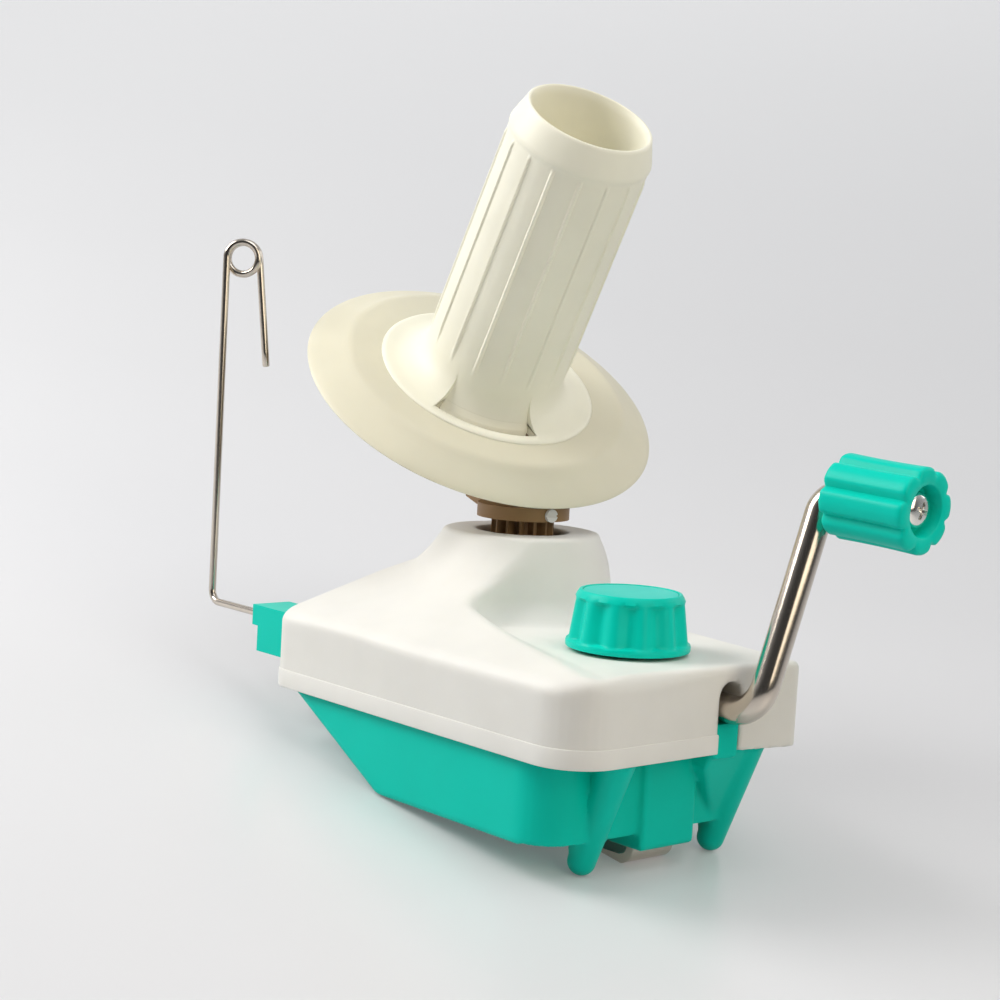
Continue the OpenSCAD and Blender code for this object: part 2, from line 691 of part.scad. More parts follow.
module yarn_guide()
    color([0.78, 0.77, 0.75]) place() translate([-wire_reach, wire_y, 0]) {
        translate([4, 0, wire_z]) rotate([0, 90, 0])
            cylinder(r = wire_r, h = wire_reach + bracket_x0 + 11);
        translate([4, 0, wire_z + 4]) rotate([90, 0, 0]) rotate([0, 0, 180]) elbow(wire_r, 4);
        translate([0, 0, wire_z + 4]) cylinder(r = wire_r, h = eye_z - wire_z - 4);
        translate([0, 0, eye_z]) rotate([0, 0, 48]) {
            sphere(r = wire_joint_r);
            translate([eye_r, 0, 0]) rotate([90, 0, 0]) rotate_extrude(angle = 180)
                translate([eye_r, 0]) circle(r = wire_r);
            translate([2 * eye_r, 0, 0]) sphere(r = wire_joint_r);
            translate([eye_r, eye_step / 2, 0]) rotate([0, 0, -atan(eye_step / 2 / eye_r)]) rotate([90, 0, 0])
                rotate([0, 0, 180]) rotate_extrude(angle = 180)
                    translate([norm([eye_r, eye_step / 2]), 0]) circle(r = wire_r);
            translate([0, eye_step, 0]) sphere(r = wire_joint_r);
            translate([eye_r, eye_step, 0]) rotate([90, 0, 0]) rotate([0, 0, tail_lean])
                rotate_extrude(angle = 180 - tail_lean) translate([eye_r, 0]) circle(r = wire_r);
            translate([eye_r + eye_r * cos(tail_lean), eye_step, eye_r * sin(tail_lean)]) {
                sphere(r = wire_joint_r);
                rotate([0, 180 - tail_lean, 0]) cylinder(r = wire_r, h = tail_len);
            }
        }
    }

// Table clamp

module clamp_knob()
    color([0.05, 0.75, 0.68]) place() translate([screw_x, clamp_y, shelf_z + 1]) difference() {
        union() {
            cylinder(r = knob_r, h = 2.4);
            difference() {
                translate([0, 0, 2.3]) cylinder(r1 = knob_r - 0.3, r2 = knob_r - 2.1, h = knob_h - 4.3);
                for (i = [0 : knob_flutes - 1])
                    rotate([0, 0, 360 * i / knob_flutes]) translate([knob_r + 1.5, 0, 2.4]) rotate([0, -8, 0])
                        cylinder(r = 3, h = knob_h);
            }
            translate([0, 0, knob_h - 2.1]) cylinder(r1 = knob_r - 2.1, r2 = knob_r - 3.3, h = 2.1);
        }
        translate([0, 0, knob_h - 1.2]) cylinder(r = lid_r + 0.05, h = 4);
        translate([0, 0, -1]) cylinder(r = screw_r + seat_gap, h = knob_h - 3);
        translate([0, 0, -1]) difference() {
            cylinder(r = knob_r - 2.6, h = 8);
            cylinder(r = screw_r + 3.5, h = 9);
        }
    }

module knob_cap()
    color([0.15, 0.8, 0.72]) place() translate([screw_x, clamp_y, shelf_z + 1 + knob_h - 1.2])
        cylinder(r = lid_r, h = 0.9);

module knob_washer()
    color([0.85, 0.84, 0.8]) place() translate([screw_x, clamp_y, 0])
        ring(screw_r + 3, screw_r + 0.3, shelf_z, shelf_z + 0.95);

module clamp_screw()
    color([0.7, 0.69, 0.67]) place() translate([screw_x, clamp_y, 4]) difference() {
        cylinder(r = screw_r, h = shelf_z + knob_h - 7.2);
        for (i = [0 : 2 : 29]) translate([0, 0, 2 + i]) ring(screw_r + 1, screw_r - 0.5, 0, 0.9);
    }

module screw_clip()
    color([0.3, 0.3, 0.31]) place() translate([screw_x, clamp_y, 0])
        ring(screw_r + 3.4, screw_r + seat_gap, shelf_z - wall - 1.5, shelf_z - wall - 0.3);

module jaw_bend(r_in) rotate_extrude(angle = 90) translate([r_in, 0]) square([jaw_t, jaw_w]);

module clamp_jaw()
    color([0.74, 0.73, 0.71]) place() translate([0, clamp_y + jaw_w / 2, 0]) {
        difference() {
            translate([64, -jaw_w, jaw_arm_z]) cube([jaw_x - jaw_r - 64, jaw_w, jaw_t]);
            translate([screw_x, -jaw_w / 2, jaw_arm_z - 4]) cylinder(r = screw_r + 0.6, h = 10);
        }
        translate([jaw_x - jaw_r, 0, jaw_arm_z - jaw_r]) rotate([90, 0, 0]) jaw_bend(jaw_r);
        translate([jaw_x, -jaw_w, jaw_low_z]) cube([jaw_t, jaw_w, jaw_arm_z - jaw_r - jaw_low_z]);
        translate([jaw_x - jaw_r, 0, jaw_low_z]) rotate([90, 0, 0]) rotate([0, 0, -90]) jaw_bend(jaw_r);
        translate([60, -jaw_w, jaw_low_z - jaw_r - jaw_t]) cube([jaw_x - jaw_r - 60, jaw_w, jaw_t]);
    }

module clamp_nut()
    color([0.6, 0.59, 0.58]) place() translate([screw_x, clamp_y, jaw_arm_z + jaw_t]) difference() {
        cylinder(r = 7.4, h = 5, $fn = 6);
        translate([0, 0, -1]) cylinder(r = screw_r + run_gap, h = 8);
    }

lower_housing();
upper_cover();
cover_screw(0);  // cover_screw_1
cover_screw(1);  // cover_screw_2
cover_screw(2);  // cover_screw_3
cover_screw(3);  // cover_screw_4
spindle_post();
thrust_washer();
sun_gear();
inner_bush();
outer_bush();
guide_bracket();
bracket_screw();
crank_rod();
crown_gear();
crank_collar();
collar_screw();
crank_grip();
grip_screw();
carrier();
carrier_screw();
tilted_axle();
axle_nut();
bobbin_barrel();
bobbin_plate();
bobbin_gear();
bobbin_washer();
axle_screw();
yarn_guide();
clamp_knob();
knob_cap();
knob_washer();
clamp_screw();
screw_clip();
clamp_jaw();
clamp_nut();
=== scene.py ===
"""Looks of a yarn ball winder: shells, bobbin, crank, wire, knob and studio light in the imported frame.

Shapes are worked out in millimetres from the foot of the spindle, X towards the crank, Y towards the
back and Z up, and are then moved into the frame, which is in metres. Angles are in radians, except
where a name or a comment says degrees.
"""
import json
import math

import bpy
import numpy as np
from mathutils import Matrix, Vector


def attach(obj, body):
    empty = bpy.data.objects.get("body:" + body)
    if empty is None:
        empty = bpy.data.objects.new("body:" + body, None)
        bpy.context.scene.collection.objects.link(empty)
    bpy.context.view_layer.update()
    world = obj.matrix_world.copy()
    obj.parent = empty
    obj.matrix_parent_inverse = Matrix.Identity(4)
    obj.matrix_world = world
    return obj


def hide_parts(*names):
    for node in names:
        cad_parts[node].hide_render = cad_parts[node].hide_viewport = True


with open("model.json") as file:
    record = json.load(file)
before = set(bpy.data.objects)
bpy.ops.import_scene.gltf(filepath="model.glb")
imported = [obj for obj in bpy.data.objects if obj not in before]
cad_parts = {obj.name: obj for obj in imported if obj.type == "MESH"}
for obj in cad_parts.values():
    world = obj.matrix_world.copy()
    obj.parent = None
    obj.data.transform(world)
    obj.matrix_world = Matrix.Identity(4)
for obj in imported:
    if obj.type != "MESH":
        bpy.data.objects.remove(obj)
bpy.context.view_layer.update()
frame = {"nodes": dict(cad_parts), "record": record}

MM = 0.001
SPINDLE_FOOT = np.array((-50.0, 23.3, 0.0))

# Body sizes
WALL = 2.4
SHELL_EDGE = 0.3
FRONT_Y = 71.3
LEFT_X = 33.0
END_X = 103.5
BACK_END_Y = 13.5
BACK_LEFT_Y = 34.0
PARTING_Z = 23.7
EAVE_Z = 46.0
BACK_EAVE_Z = 50.0
SHELF_Z = 48.0
FRONT_SLOPE = math.radians(15)
BACK_SLOPE = math.radians(16)
RIDGE_R = 12
EAVE_R = 3.5
NECK_TOP_Z = 72.9
NECK_HOLE_R = 13.8
NECK_WAIST_R = 20.4
NECK_WAIST_Z = 90.5
NECK_ARC_R = 39.0
NECK_FOOT_SLOPE = math.radians(22)
NECK_RIM_R = 24.2
NECK_WALL_SLOPE = 0.32
NECK_EDGE_R = 1.0
NECK_FILLET = 5
NECK_HOLE_EDGE = 0.8
SCOOP_FAR_X = 140
SCOOP_FAR_Y = 70
SCOOP_TURN_R = 6
SHELF_FILLET = 7
BRIM_R = 1.9
BRIM_R_GROWTH = 2.6
BRIM_GROWTH_Y = -18
BRIM_GROWTH_RUN = 24
COVER_FOOT_EDGE = 0.5
BAND_H = 5.5
BAND_OUT = 0.35
BAND_ROOT = -0.6
BAND_SLOT_GAP = 0.1
BASE_INSET = 2.0
BASE_END_X = 92.0
BASE_BACK_Y = 8.0
SEAT_END_X = 82.2
SEAT_STEP = 0.6
BOW_FOOT_X = 20.0
BOW_RUN = 43.5
TUB_EDGE = 1.2
LIP_GAP = 0.15
LIP_MIDDLE = 1.15
LIP_HALF = 1.25
CLAMP_Y = -23.3
BOSS_X = (80, 94)
BOSS_HALF = 10.5
BOSS_Z = (-4, PARTING_Z + 2)
BOSS_EDGE = 1.2
BOSS_FILLET = 1.0
CHANNEL_X = (85.85, 88.65)
CHANNEL_Z = (-12, 40)
CHANNEL_HALF = 8.3
CHANNEL_EDGE = 0.2
POCKET_X = (78, 87)
POCKET_Z = (2.9, 40)
PRONG_TIP = (86.5, -6.0)
PRONG_R = 4.0
PRONG_LEAN = math.radians(21)
PRONG_TOP_X = 102.0
PRONG_SPREAD = 25.6
PRONG_LEN = 40
PRONG_TAPER = 0.03
PRONG_FOOT_Z = PRONG_TIP[1] + 2
PRONG_WEB_TOP_X = (84, 96)
PRONG_WEB_FOOT_X = (83.4, PRONG_TIP[0] + 1)
PRONG_WEB_HALF = 2.6
PRONG_WEB_EDGE = 1.0
PRONG_WEB_FILLET = 1.6
WEB_START_X = 88
WEB_TOP_X = PRONG_TOP_X + 1.2
WEB_FOOT_X = PRONG_TIP[0] + 2.5
WEB_TOP_Z = PARTING_Z + 3
WEB_SLOT_Z = PARTING_Z - 5
WEB_Y = CLAMP_Y + PRONG_SPREAD
WEB_FOOT_WIDTH = 2
WEB_EDGE = 0.8
FIELD_STEP = 0.9

# Crank and grip sizes
CRANK_Z = 36.0
CRANK_TURN = math.radians(6.4)
ROD_R = 4.0
CRANK_THROW = 64.5
ARM_ANGLE = math.radians(17.7)
ARM_REACH = 114.7
PIN_TURN = math.radians(10)
GRIP_START = 6.2
GRIP_LEN = 27.0
GRIP_R = 12.0
GRIP_LOBES = 8
GROOVE_DEEP = 1.5
GROOVE_WIDTH = 0.26
LOBE_CROWN = 0.25
GRIP_WAIST = 0.25
RECESS_R = 7.2
RECESS_DEEP = 5.0
ROD_START = 11.0
ROD_END_SHORT = 8.7
LOW_BEND = 9.0
HIGH_BEND = 6.0
CROSS_R = 2.5
CROSS_HALF = 0.5
CROSS_DEEP = 1.4
CROSS_RAMP = 0.4
GRIP_SCREW_SEAT = 4.7

# Crank slot, bearing and post sizes
CRANK_SLOT_HALF = 4.5
CRANK_SLOT_RISE = 3.1
CRANK_SLOT_START = 92
CRANK_SLOT_EDGE = 0.7
CRANK_SLOT_Y = -END_X * math.tan(CRANK_TURN)
BULGE_START = 5
BULGE = 3.8
LINING_START = 94
LINING_WALL = 1.6
LINING_INSET = 0.5
TONGUE_SPAN = (94, 103.2)
TONGUE_FOOT = PARTING_Z - 2
TONGUE_EDGE = 0.6
TONGUE_INSET = 0.1
TONGUE_HALF = CRANK_SLOT_HALF - 0.2
TONGUE_TOP = CRANK_Z - ROD_R - 0.4
BUSH_STARTS = (24.0, 85.0)
BUSH_R = ROD_R + 1.65
PILLAR_LEN = 6
PILLAR_HALF = 8.0
PILLAR_FOOT = 1
PILLAR_TOP = CRANK_Z + 7
PILLAR_EDGE = 0.5
POST_R = 3.0
POST_BOSS_R = 6.5
POST_BOSS_Z = 54.4
POST_FOOT_INSET = 0.6

# Bobbin sizes
LEAN = math.radians(33)
LEAN_TURN = math.radians(-10.7)
APEX_Z = 161.3
APEX_S = 57.0
PLATE_R = 58.8
PLATE_UNDER = 5.2
PLATE_INNER_CUT = 3
SKIRT_H = 7.3
PAD_H = 0.7
PAD_R = 35.6
BOBBIN_LEN = 104.0
BARREL_FOOT_R = 23.2
BARREL_TOP_R = 22.4
MOUTH_R = 19.8
BARREL_SKIN = 0.7
BARREL_FLOOR_S = 60
BARREL_FLOOR_HOLE_R = 6.5
RIB_COUNT = 16
RIB_H = 0.6
RIB_HALF = 0.65
RIB_PHASE = math.radians(1.5)
RIB_LOW = 19.0
RIB_HIGH = BOBBIN_LEN - 10
RIB_RISE_RATE = 12
RIB_END_SHARE = 0.99
RIB_END_FADE = 0.02
FOOT_FILLET = 9.0
SLOT_FOOT_OUT = 4.0
SLOT_FOOT_DEEP = 2.0
SLOT_FOOT_POWER = 2.5
SLOT_WALL_FOOT = 3.6
PLATE_SLOT_R = (25.4, 32.3)
PLATE_SLOT_DEGREES = (-58.0, 6.0)

# Clamp and yarn guide sizes
SCREW_X = 73.4
KNOB_R = 17.8
KNOB_H = 16.2
KNOB_GAP = 1
KNOB_LID_INSET = 4.2
KNOB_FLUTES = 12
FLUTE_DEEP = 1.5
FLUTE_POWER = 1.2
WIRE_R = 1.2
WIRE_BEND = 4
WIRE_REACH = 90.6
WIRE_Y = -55.5
WIRE_Z = 39.8
WIRE_END_X = -42.0
EYE_Z = 153.5
EYE_R = 5.2
EYE_STEP = 2 * WIRE_R + 0.5
EYE_TURN = math.radians(48)
TAIL_LEAN = math.radians(6)
TAIL_LEN = 36.0

# Photograph's camera
FOCAL_PIXELS = 2051.0
IMAGE_PIXELS = 1000
SENSOR_MM = 36.0
CAMERA_PLACE = (479.68, -431.01, 145.48)
CAMERA_YAW = math.radians(48.73)
CAMERA_PITCH = math.radians(5.63)
CAMERA_ROLL = math.radians(3.27)

# Backdrop and room
FLOOR_LIFT = (0.13, 0.46)
FLOOR_LIFT_HEIGHT = 0.4
FLOOR_COLOUR = (0.60, 0.60, 0.615, 1)
FLOOR_TINT = (0.98, 0.99, 1.0, 1)
FLOOR_GAP = 0.2
FLOOR_TIP_SHIFT = 0.6
FLOOR_NEAR = -1500.0
FLOOR_HALF = 2600
FLOOR_COLUMNS = 9
CURVE_START = 150.0
CURVE_R = 1500.0
BACKDROP_TOP = 3200.0
ROOM_COLOUR = (0.95, 0.97, 1.0, 1)
ROOM_RANGE = (-0.6, 0.8)
ROOM_AHEAD = 0.8
ROOM_UP = 0.6
LAMP_AIM = (10, -10, 70)


# Mesh helpers


def ease(t):
    """Smooth step from 0 to 1."""
    return t * t * (3 - 2 * t)


def to_frame(points):
    """Millimetres from the spindle foot to the frame's metres."""
    return (np.asarray(points, dtype=float) + SPINDLE_FOOT) * MM


def make_mesh(name, points, faces, body, smooth_angle):
    """A mesh object on a body, from points in millimetres, smooth below an angle in degrees."""
    mesh = bpy.data.meshes.new(name)
    whole_faces = [tuple(int(i) for i in f) for f in faces]
    mesh.from_pydata([tuple(p) for p in to_frame(points)], [], whole_faces)
    mesh.validate()
    obj = bpy.data.objects.new(name, mesh)
    bpy.context.collection.objects.link(obj)
    mesh.shade_smooth()
    mesh.set_sharp_from_angle(angle=math.radians(smooth_angle))
    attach(obj, body)
    return obj


def grid_faces(rows, columns, close_rows=False, close_columns=False):
    """Quads over a rows by columns grid of points."""
    faces = []
    for i in range(rows if close_rows else rows - 1):
        for j in range(columns if close_columns else columns - 1):
            a = i * columns + j
            b = i * columns + (j + 1) % columns
            c = ((i + 1) % rows) * columns + (j + 1) % columns
            d = ((i + 1) % rows) * columns + j
            faces.append((a, b, c, d))
    return faces


def arc(centre, radius, start, end, steps):
    """Points of a plane arc, angles in degrees."""
    angles = np.radians(np.linspace(start, end, steps))
    return [(centre[0] + radius * math.cos(a), centre[1] + radius * math.sin(a)) for a in angles]


def tube(path, radius, sides):
    """Points and faces of a round bar along a path, with rounded ends."""
    path = np.asarray(path, dtype=float)
    tangents = np.gradient(path, axis=0)
    tangents /= np.linalg.norm(tangents, axis=1)[:, None]
    first_guess = (0.3, 0.5, 0.81)
    side = np.cross(tangents[0], first_guess)
    side /= np.linalg.norm(side)
    sides_along = []
    for t in tangents:
        side = side - t * np.dot(side, t)
        side = side / np.linalg.norm(side)
        sides_along.append(side)
    angles = np.linspace(0, 2 * math.pi, sides, endpoint=False)

    def ring(place, shift, share):
        across = sides_along[place]
        other = np.cross(tangents[place], across)
        centre = path[place] + tangents[place] * shift * radius
        return [centre + radius * share * (math.cos(a) * across + math.sin(a) * other) for a in angles]

    end_shares = ((0.35, 0.0), (0.8, 0.12), (1.0, 0.4))
    rings = [ring(0, back, share) for share, back in end_shares]
    rings += [ring(i, 0.0, 1.0) for i in range(1, len(path) - 1)]
    rings += [ring(-1, -back, share) for share, back in reversed(end_shares)]
    points = [p for r in rings for p in r]
    faces = grid_faces(len(rings), sides, close_columns=True)
    faces.append(tuple(range(sides))[::-1])
    last = len(points) - sides
    faces.append(tuple(range(last, last + sides)))
    return points, [f[::-1] for f in faces]


# Distance fields


def round_and(a, b, r):
    """Both a and b, with their outer edge rounded."""
    return np.minimum(-r, np.maximum(a, b)) + np.hypot(np.maximum(a + r, 0), np.maximum(b + r, 0))


def round_or(a, b, r):
    """Either a or b, with their inner edge filled to a radius."""
    return np.maximum(r, np.minimum(a, b)) - np.hypot(np.maximum(r - a, 0), np.maximum(r - b, 0))


def polygon_field(points):
    """Signed distance in a plane to a closed outline."""
    points = np.asarray(points, dtype=float)

    def field(x, y):
        best = None
        inside = None
        for a, b in zip(points, np.roll(points, -1, axis=0)):
            ex, ey = b - a
            wx, wy = x - a[0], y - a[1]
            t = np.clip((wx * ex + wy * ey) / (ex * ex + ey * ey), 0, 1)
            d = (wx - ex * t) ** 2 + (wy - ey * t) ** 2
            crosses = ((a[1] <= y) != (b[1] <= y)) & ((wx < ex * wy / ey) if ey != 0 else False)
            best = d if best is None else np.minimum(best, d)
            inside = crosses if inside is None else inside ^ crosses
        return np.where(inside, -1.0, 1.0) * np.sqrt(best)

    return field


def rounded_outline(points, radii, steps=10):
    """A closed outline with its corners turned into arcs."""
    out = []
    points = [np.array(p, dtype=float) for p in points]
    for i, (p, r) in enumerate(zip(points, radii)):
        if r == 0:
            out.append(tuple(p))
            continue
        u = points[i - 1] - p
        v = points[(i + 1) % len(points)] - p
        u /= np.linalg.norm(u)
        v /= np.linalg.norm(v)
        half = math.acos(np.dot(u, v)) / 2
        middle = (u + v) / np.linalg.norm(u + v)
        centre = p + middle * r / math.sin(half)
        first = p + u * r / math.tan(half) - centre
        last = p + v * r / math.tan(half) - centre
        start = math.degrees(math.atan2(first[1], first[0]))
        turn = (math.degrees(math.atan2(last[1], last[0])) - start + 180) % 360 - 180
        out += arc(centre, r, start, start + turn, steps)
    return out


def field_mesh(field, low, high, step):
    """Points and quads of the surface where field is zero: surface nets, then Newton steps onto it."""
    axes = [np.arange(a, b + step, step) for a, b in zip(low, high)]
    grid = np.meshgrid(*axes, indexing="ij", sparse=True)
    values = np.broadcast_to(field(*grid), [len(a) for a in axes])
    cells = [n - 1 for n in values.shape]
    total = np.zeros((*cells, 3))
    count = np.zeros(cells, dtype=int)
    faces = []
    crossings = []
    for axis in range(3):
        first = np.moveaxis(values, axis, 0)[:-1]
        second = np.moveaxis(values, axis, 0)[1:]
        cross = (first < 0) != (second < 0)
        share = np.where(cross, first / np.where(first == second, 1, first - second), 0)
        others = [o for o in range(3) if o != axis]
        crossings.append((axis, others, cross, first < 0))
        for du in (0, 1):
            for dv in (0, 1):
                part = np.s_[:, du:du + cells[others[0]], dv:dv + cells[others[1]]]
                hit = np.moveaxis(cross[part], 0, axis)
                total[..., axis] += np.moveaxis(share[part], 0, axis)
                total[..., others[0]] += hit * du
                total[..., others[1]] += hit * dv
                count += hit
    used = count > 0
    index = np.full(cells, -1)
    index[used] = np.arange(used.sum())
    points = np.argwhere(used) + total[used] / count[used][:, None]
    points = points * step + np.array([a[0] for a in axes])
    for axis, others, cross, outward in crossings:
        where = np.argwhere(cross)
        inner = np.all((where[:, 1:] > 0) & (where[:, 1:] < [cells[o] for o in others]), axis=1)
        where = where[inner]
        flip = outward[tuple(where.T)] != (axis != 1)
        corners = []
        for du, dv in ((-1, -1), (0, -1), (0, 0), (-1, 0)):
            cell = np.zeros((len(where), 3), dtype=int)
            cell[:, axis] = where[:, 0]
            cell[:, others[0]] = where[:, 1] + du
            cell[:, others[1]] = where[:, 2] + dv
            corners.append(index[tuple(cell.T)])
        quads = np.stack(corners, axis=1)
        quads[flip] = quads[flip][:, ::-1]
        faces.append(quads)
    return settle(field, points, step), np.concatenate(faces)


def settle(field, points, step, rounds=3):
    """Moves points onto the surface where field is zero, by less than half a step a round."""
    small = step * 0.05
    least_slope = 0.05
    reach = 0.4 * step
    for _ in range(rounds):
        here = field(*points.T)
        slope = np.stack([
            (field(*(points + small * e).T) - field(*(points - small * e).T)) / (2 * small) for e in np.eye(3)
        ], axis=1)
        size = np.maximum((slope ** 2).sum(axis=1), least_slope)
        move = -here[:, None] * slope / size[:, None]
        points = points + np.clip(move, -reach, reach)
    return points


# Body outlines

PLAN_CORNERS = [
    (-LEFT_X, -FRONT_Y), (END_X, -FRONT_Y), (END_X, CRANK_SLOT_Y + BULGE_START),
    (END_X + BULGE, BACK_END_Y), (-LEFT_X, BACK_LEFT_Y)]
PLAN_RADII = [8, 15, 0, 3, 12]
SCOOP_CORNERS = [
    (SCOOP_FAR_X, -76.5), (SCOOP_FAR_X, SCOOP_FAR_Y), (12, SCOOP_FAR_Y), (12, 20), (19.5, -12), (21.5, -38.4)]
SCOOP_RADII = [0, 0, 0, 0, 0, 9]
TUB_LEFT_X = BASE_INSET - LEFT_X
TUB_FRONT_Y = BASE_INSET - FRONT_Y
TUB_CORNERS = [
    (TUB_LEFT_X, TUB_FRONT_Y), (BASE_END_X, TUB_FRONT_Y), (BASE_END_X, BASE_BACK_Y),
    (TUB_LEFT_X, BACK_LEFT_Y - BASE_INSET)]
TUB_RADII = [6, 12, 10, 10]
plan_distance = polygon_field(rounded_outline(PLAN_CORNERS, PLAN_RADII))
scoop_distance = polygon_field(rounded_outline(SCOOP_CORNERS, SCOOP_RADII))
tub_distance = polygon_field(rounded_outline(TUB_CORNERS, TUB_RADII))


def crank_frame(x, y):
    """Distance along the crank axis and to its back side."""
    along = x * math.cos(CRANK_TURN) - y * math.sin(CRANK_TURN)
    aside = x * math.sin(CRANK_TURN) + y * math.cos(CRANK_TURN)
    return along, aside


def cover_skin(x, y, z):
    """Outside of the cover, going on below its bottom edge."""
    front = (z - EAVE_Z) * math.cos(FRONT_SLOPE) - (y + FRONT_Y) * math.sin(FRONT_SLOPE)
    back = (z - BACK_EAVE_Z) * math.cos(BACK_SLOPE) + (y - BACK_LEFT_Y) * math.sin(BACK_SLOPE)
    roof = round_and(front, back, RIDGE_R)
    r = np.hypot(x, y)
    arc_middle = NECK_WAIST_R + NECK_ARC_R
    flare = NECK_ARC_R - np.hypot(r - arc_middle, z - NECK_WAIST_Z)
    foot_r = arc_middle - NECK_ARC_R * math.sin(NECK_FOOT_SLOPE)
    foot_z = NECK_WAIST_Z - NECK_ARC_R * math.cos(NECK_FOOT_SLOPE)
    foot = (z - foot_z) * math.cos(NECK_FOOT_SLOPE) + (r - foot_r) * math.sin(NECK_FOOT_SLOPE)
    neck = round_and(np.where(r > foot_r, foot, flare), z - NECK_TOP_Z, NECK_EDGE_R)
    body = round_and(plan_distance(x, y), round_or(roof, neck, NECK_FILLET), EAVE_R)
    wall = (NECK_RIM_R + (NECK_TOP_Z - z) * NECK_WALL_SLOPE - r) / math.hypot(1, NECK_WALL_SLOPE)
    scoop = round_and(round_and(scoop_distance(x, y), wall, SCOOP_TURN_R), SHELF_Z - z, SHELF_FILLET)
    near_front = np.clip((BRIM_GROWTH_Y - y) / BRIM_GROWTH_RUN, 0, 1)
    brim = BRIM_R + BRIM_R_GROWTH * ease(near_front)
    return round_and(body, -scoop, brim)


def slot_distance(x, y, z):
    """Arched slot for the crank in the end wall."""
    along, aside = crank_frame(x, y)
    up = z - CRANK_Z - CRANK_SLOT_RISE
    across = np.where(up > 0, np.hypot(aside, up), np.abs(aside)) - CRANK_SLOT_HALF
    return np.maximum(across, CRANK_SLOT_START - along)


def cover_field(x, y, z):
    """Cover as a shell with the neck's hole and the lined slot, cut off at the parting line."""
    skin = cover_skin(x, y, z)
    shell = round_and(skin, -skin - WALL, SHELL_EDGE)
    shell = round_and(shell, NECK_HOLE_R - np.hypot(x, y), NECK_HOLE_EDGE)
    slot = slot_distance(x, y, z)
    along = crank_frame(x, y)[0]
    lining = np.maximum(np.maximum(slot - LINING_WALL, LINING_START - along), skin + LINING_INSET)
    shell = np.minimum(shell, lining)
    shell = round_and(shell, -slot, CRANK_SLOT_EDGE)
    return round_and(shell, PARTING_Z - z, COVER_FOOT_EDGE)


def build_cover():
    """White cover and the band round its foot."""
    margin = 2
    low = (-LEFT_X - margin, -FRONT_Y - margin, PARTING_Z - margin)
    high = (END_X + BULGE + margin, BACK_LEFT_Y + margin, NECK_TOP_Z + margin)
    points, faces = field_mesh(cover_field, low, high, FIELD_STEP)
    cover = make_mesh("cover_shell", points, faces, "base", 60)
    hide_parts("upper_cover")
    return [cover, build_band()]


def build_band():
    """Thin proud band round the foot of the cover, left out between the slot and the back corner."""
    outline = np.array(rounded_outline(PLAN_CORNERS, PLAN_RADII, 16))
    slot_low = CRANK_SLOT_Y - CRANK_SLOT_HALF - BAND_SLOT_GAP

    def past_slot(p):
        return p[0] > END_X - 1 and p[1] > slot_low

    start = max(i for i, p in enumerate(outline) if past_slot(p))
    route = [tuple(p) for p in np.roll(outline, -start, axis=0)]
    route = [p for p in route if not past_slot(p) or p == route[0]]
    route.append((END_X, slot_low))
    route = np.array(route)
    steps = np.gradient(route, axis=0)
    normals = np.stack([steps[:, 1], -steps[:, 0]], axis=1)
    normals /= np.linalg.norm(normals, axis=1)[:, None]
    top = PARTING_Z + BAND_H
    profile = [(BAND_ROOT, PARTING_Z + 0.05), (BAND_OUT - 0.15, PARTING_Z), (BAND_OUT, PARTING_Z + 0.25),
               (BAND_OUT, top - 0.35), (BAND_OUT - 0.12, top - 0.08), (BAND_ROOT, top)]
    points = []
    for p, n in zip(route, normals):
        points += [(p[0] + n[0] * out, p[1] + n[1] * out, z) for out, z in profile]
    faces = grid_faces(len(route), len(profile), close_columns=True)
    count = len(profile)
    faces.append(tuple(range(count)))
    faces.append(tuple(range(len(points) - count, len(points)))[::-1])
    return make_mesh("cover_band", points, [f[::-1] for f in faces], "base", 30)


def tub_skin(x, y, z):
    """Outside of the lower housing, going on above its top edge."""
    slant = math.hypot(PARTING_Z, BOW_RUN)
    bow = -((x - BOW_FOOT_X) * PARTING_Z + z * BOW_RUN) / slant
    tub = round_and(tub_distance(x, y), bow, TUB_EDGE)
    return round_and(tub, -z, TUB_EDGE)


prong_web = polygon_field([
    (PRONG_WEB_TOP_X[0], PARTING_Z), (PRONG_WEB_TOP_X[1], PARTING_Z),
    (PRONG_WEB_FOOT_X[1], PRONG_FOOT_Z), (PRONG_WEB_FOOT_X[0], PRONG_FOOT_Z + 1)])
web_side = polygon_field([
    (WEB_START_X, WEB_TOP_Z), (WEB_TOP_X, WEB_TOP_Z),
    (WEB_FOOT_X, PRONG_FOOT_Z), (WEB_START_X, PRONG_FOOT_Z)])
web_face = polygon_field([
    (CRANK_SLOT_Y - CRANK_SLOT_HALF, WEB_TOP_Z), (WEB_Y, WEB_TOP_Z), (WEB_Y, PRONG_FOOT_Z),
    (WEB_Y - WEB_FOOT_WIDTH, PRONG_FOOT_Z), (CRANK_SLOT_Y - CRANK_SLOT_HALF, WEB_SLOT_Z)])


def prong_field(x, y, z, middle):
    """Slanted round prong with the web that joins it to the end wall."""
    lean_x, lean_z = math.sin(PRONG_LEAN), math.cos(PRONG_LEAN)
    along = np.clip((x - PRONG_TIP[0]) * lean_x + (z - PRONG_TIP[1]) * lean_z, 0, PRONG_LEN)
    off_x = x - PRONG_TIP[0] - along * lean_x
    off_z = z - PRONG_TIP[1] - along * lean_z
    bar = np.sqrt(off_x ** 2 + off_z ** 2 + (y - middle) ** 2) - PRONG_R - PRONG_TAPER * along
    web = round_and(prong_web(x, z), np.abs(y - middle) - PRONG_WEB_HALF, PRONG_WEB_EDGE)
    return round_or(bar, web, PRONG_WEB_FILLET)


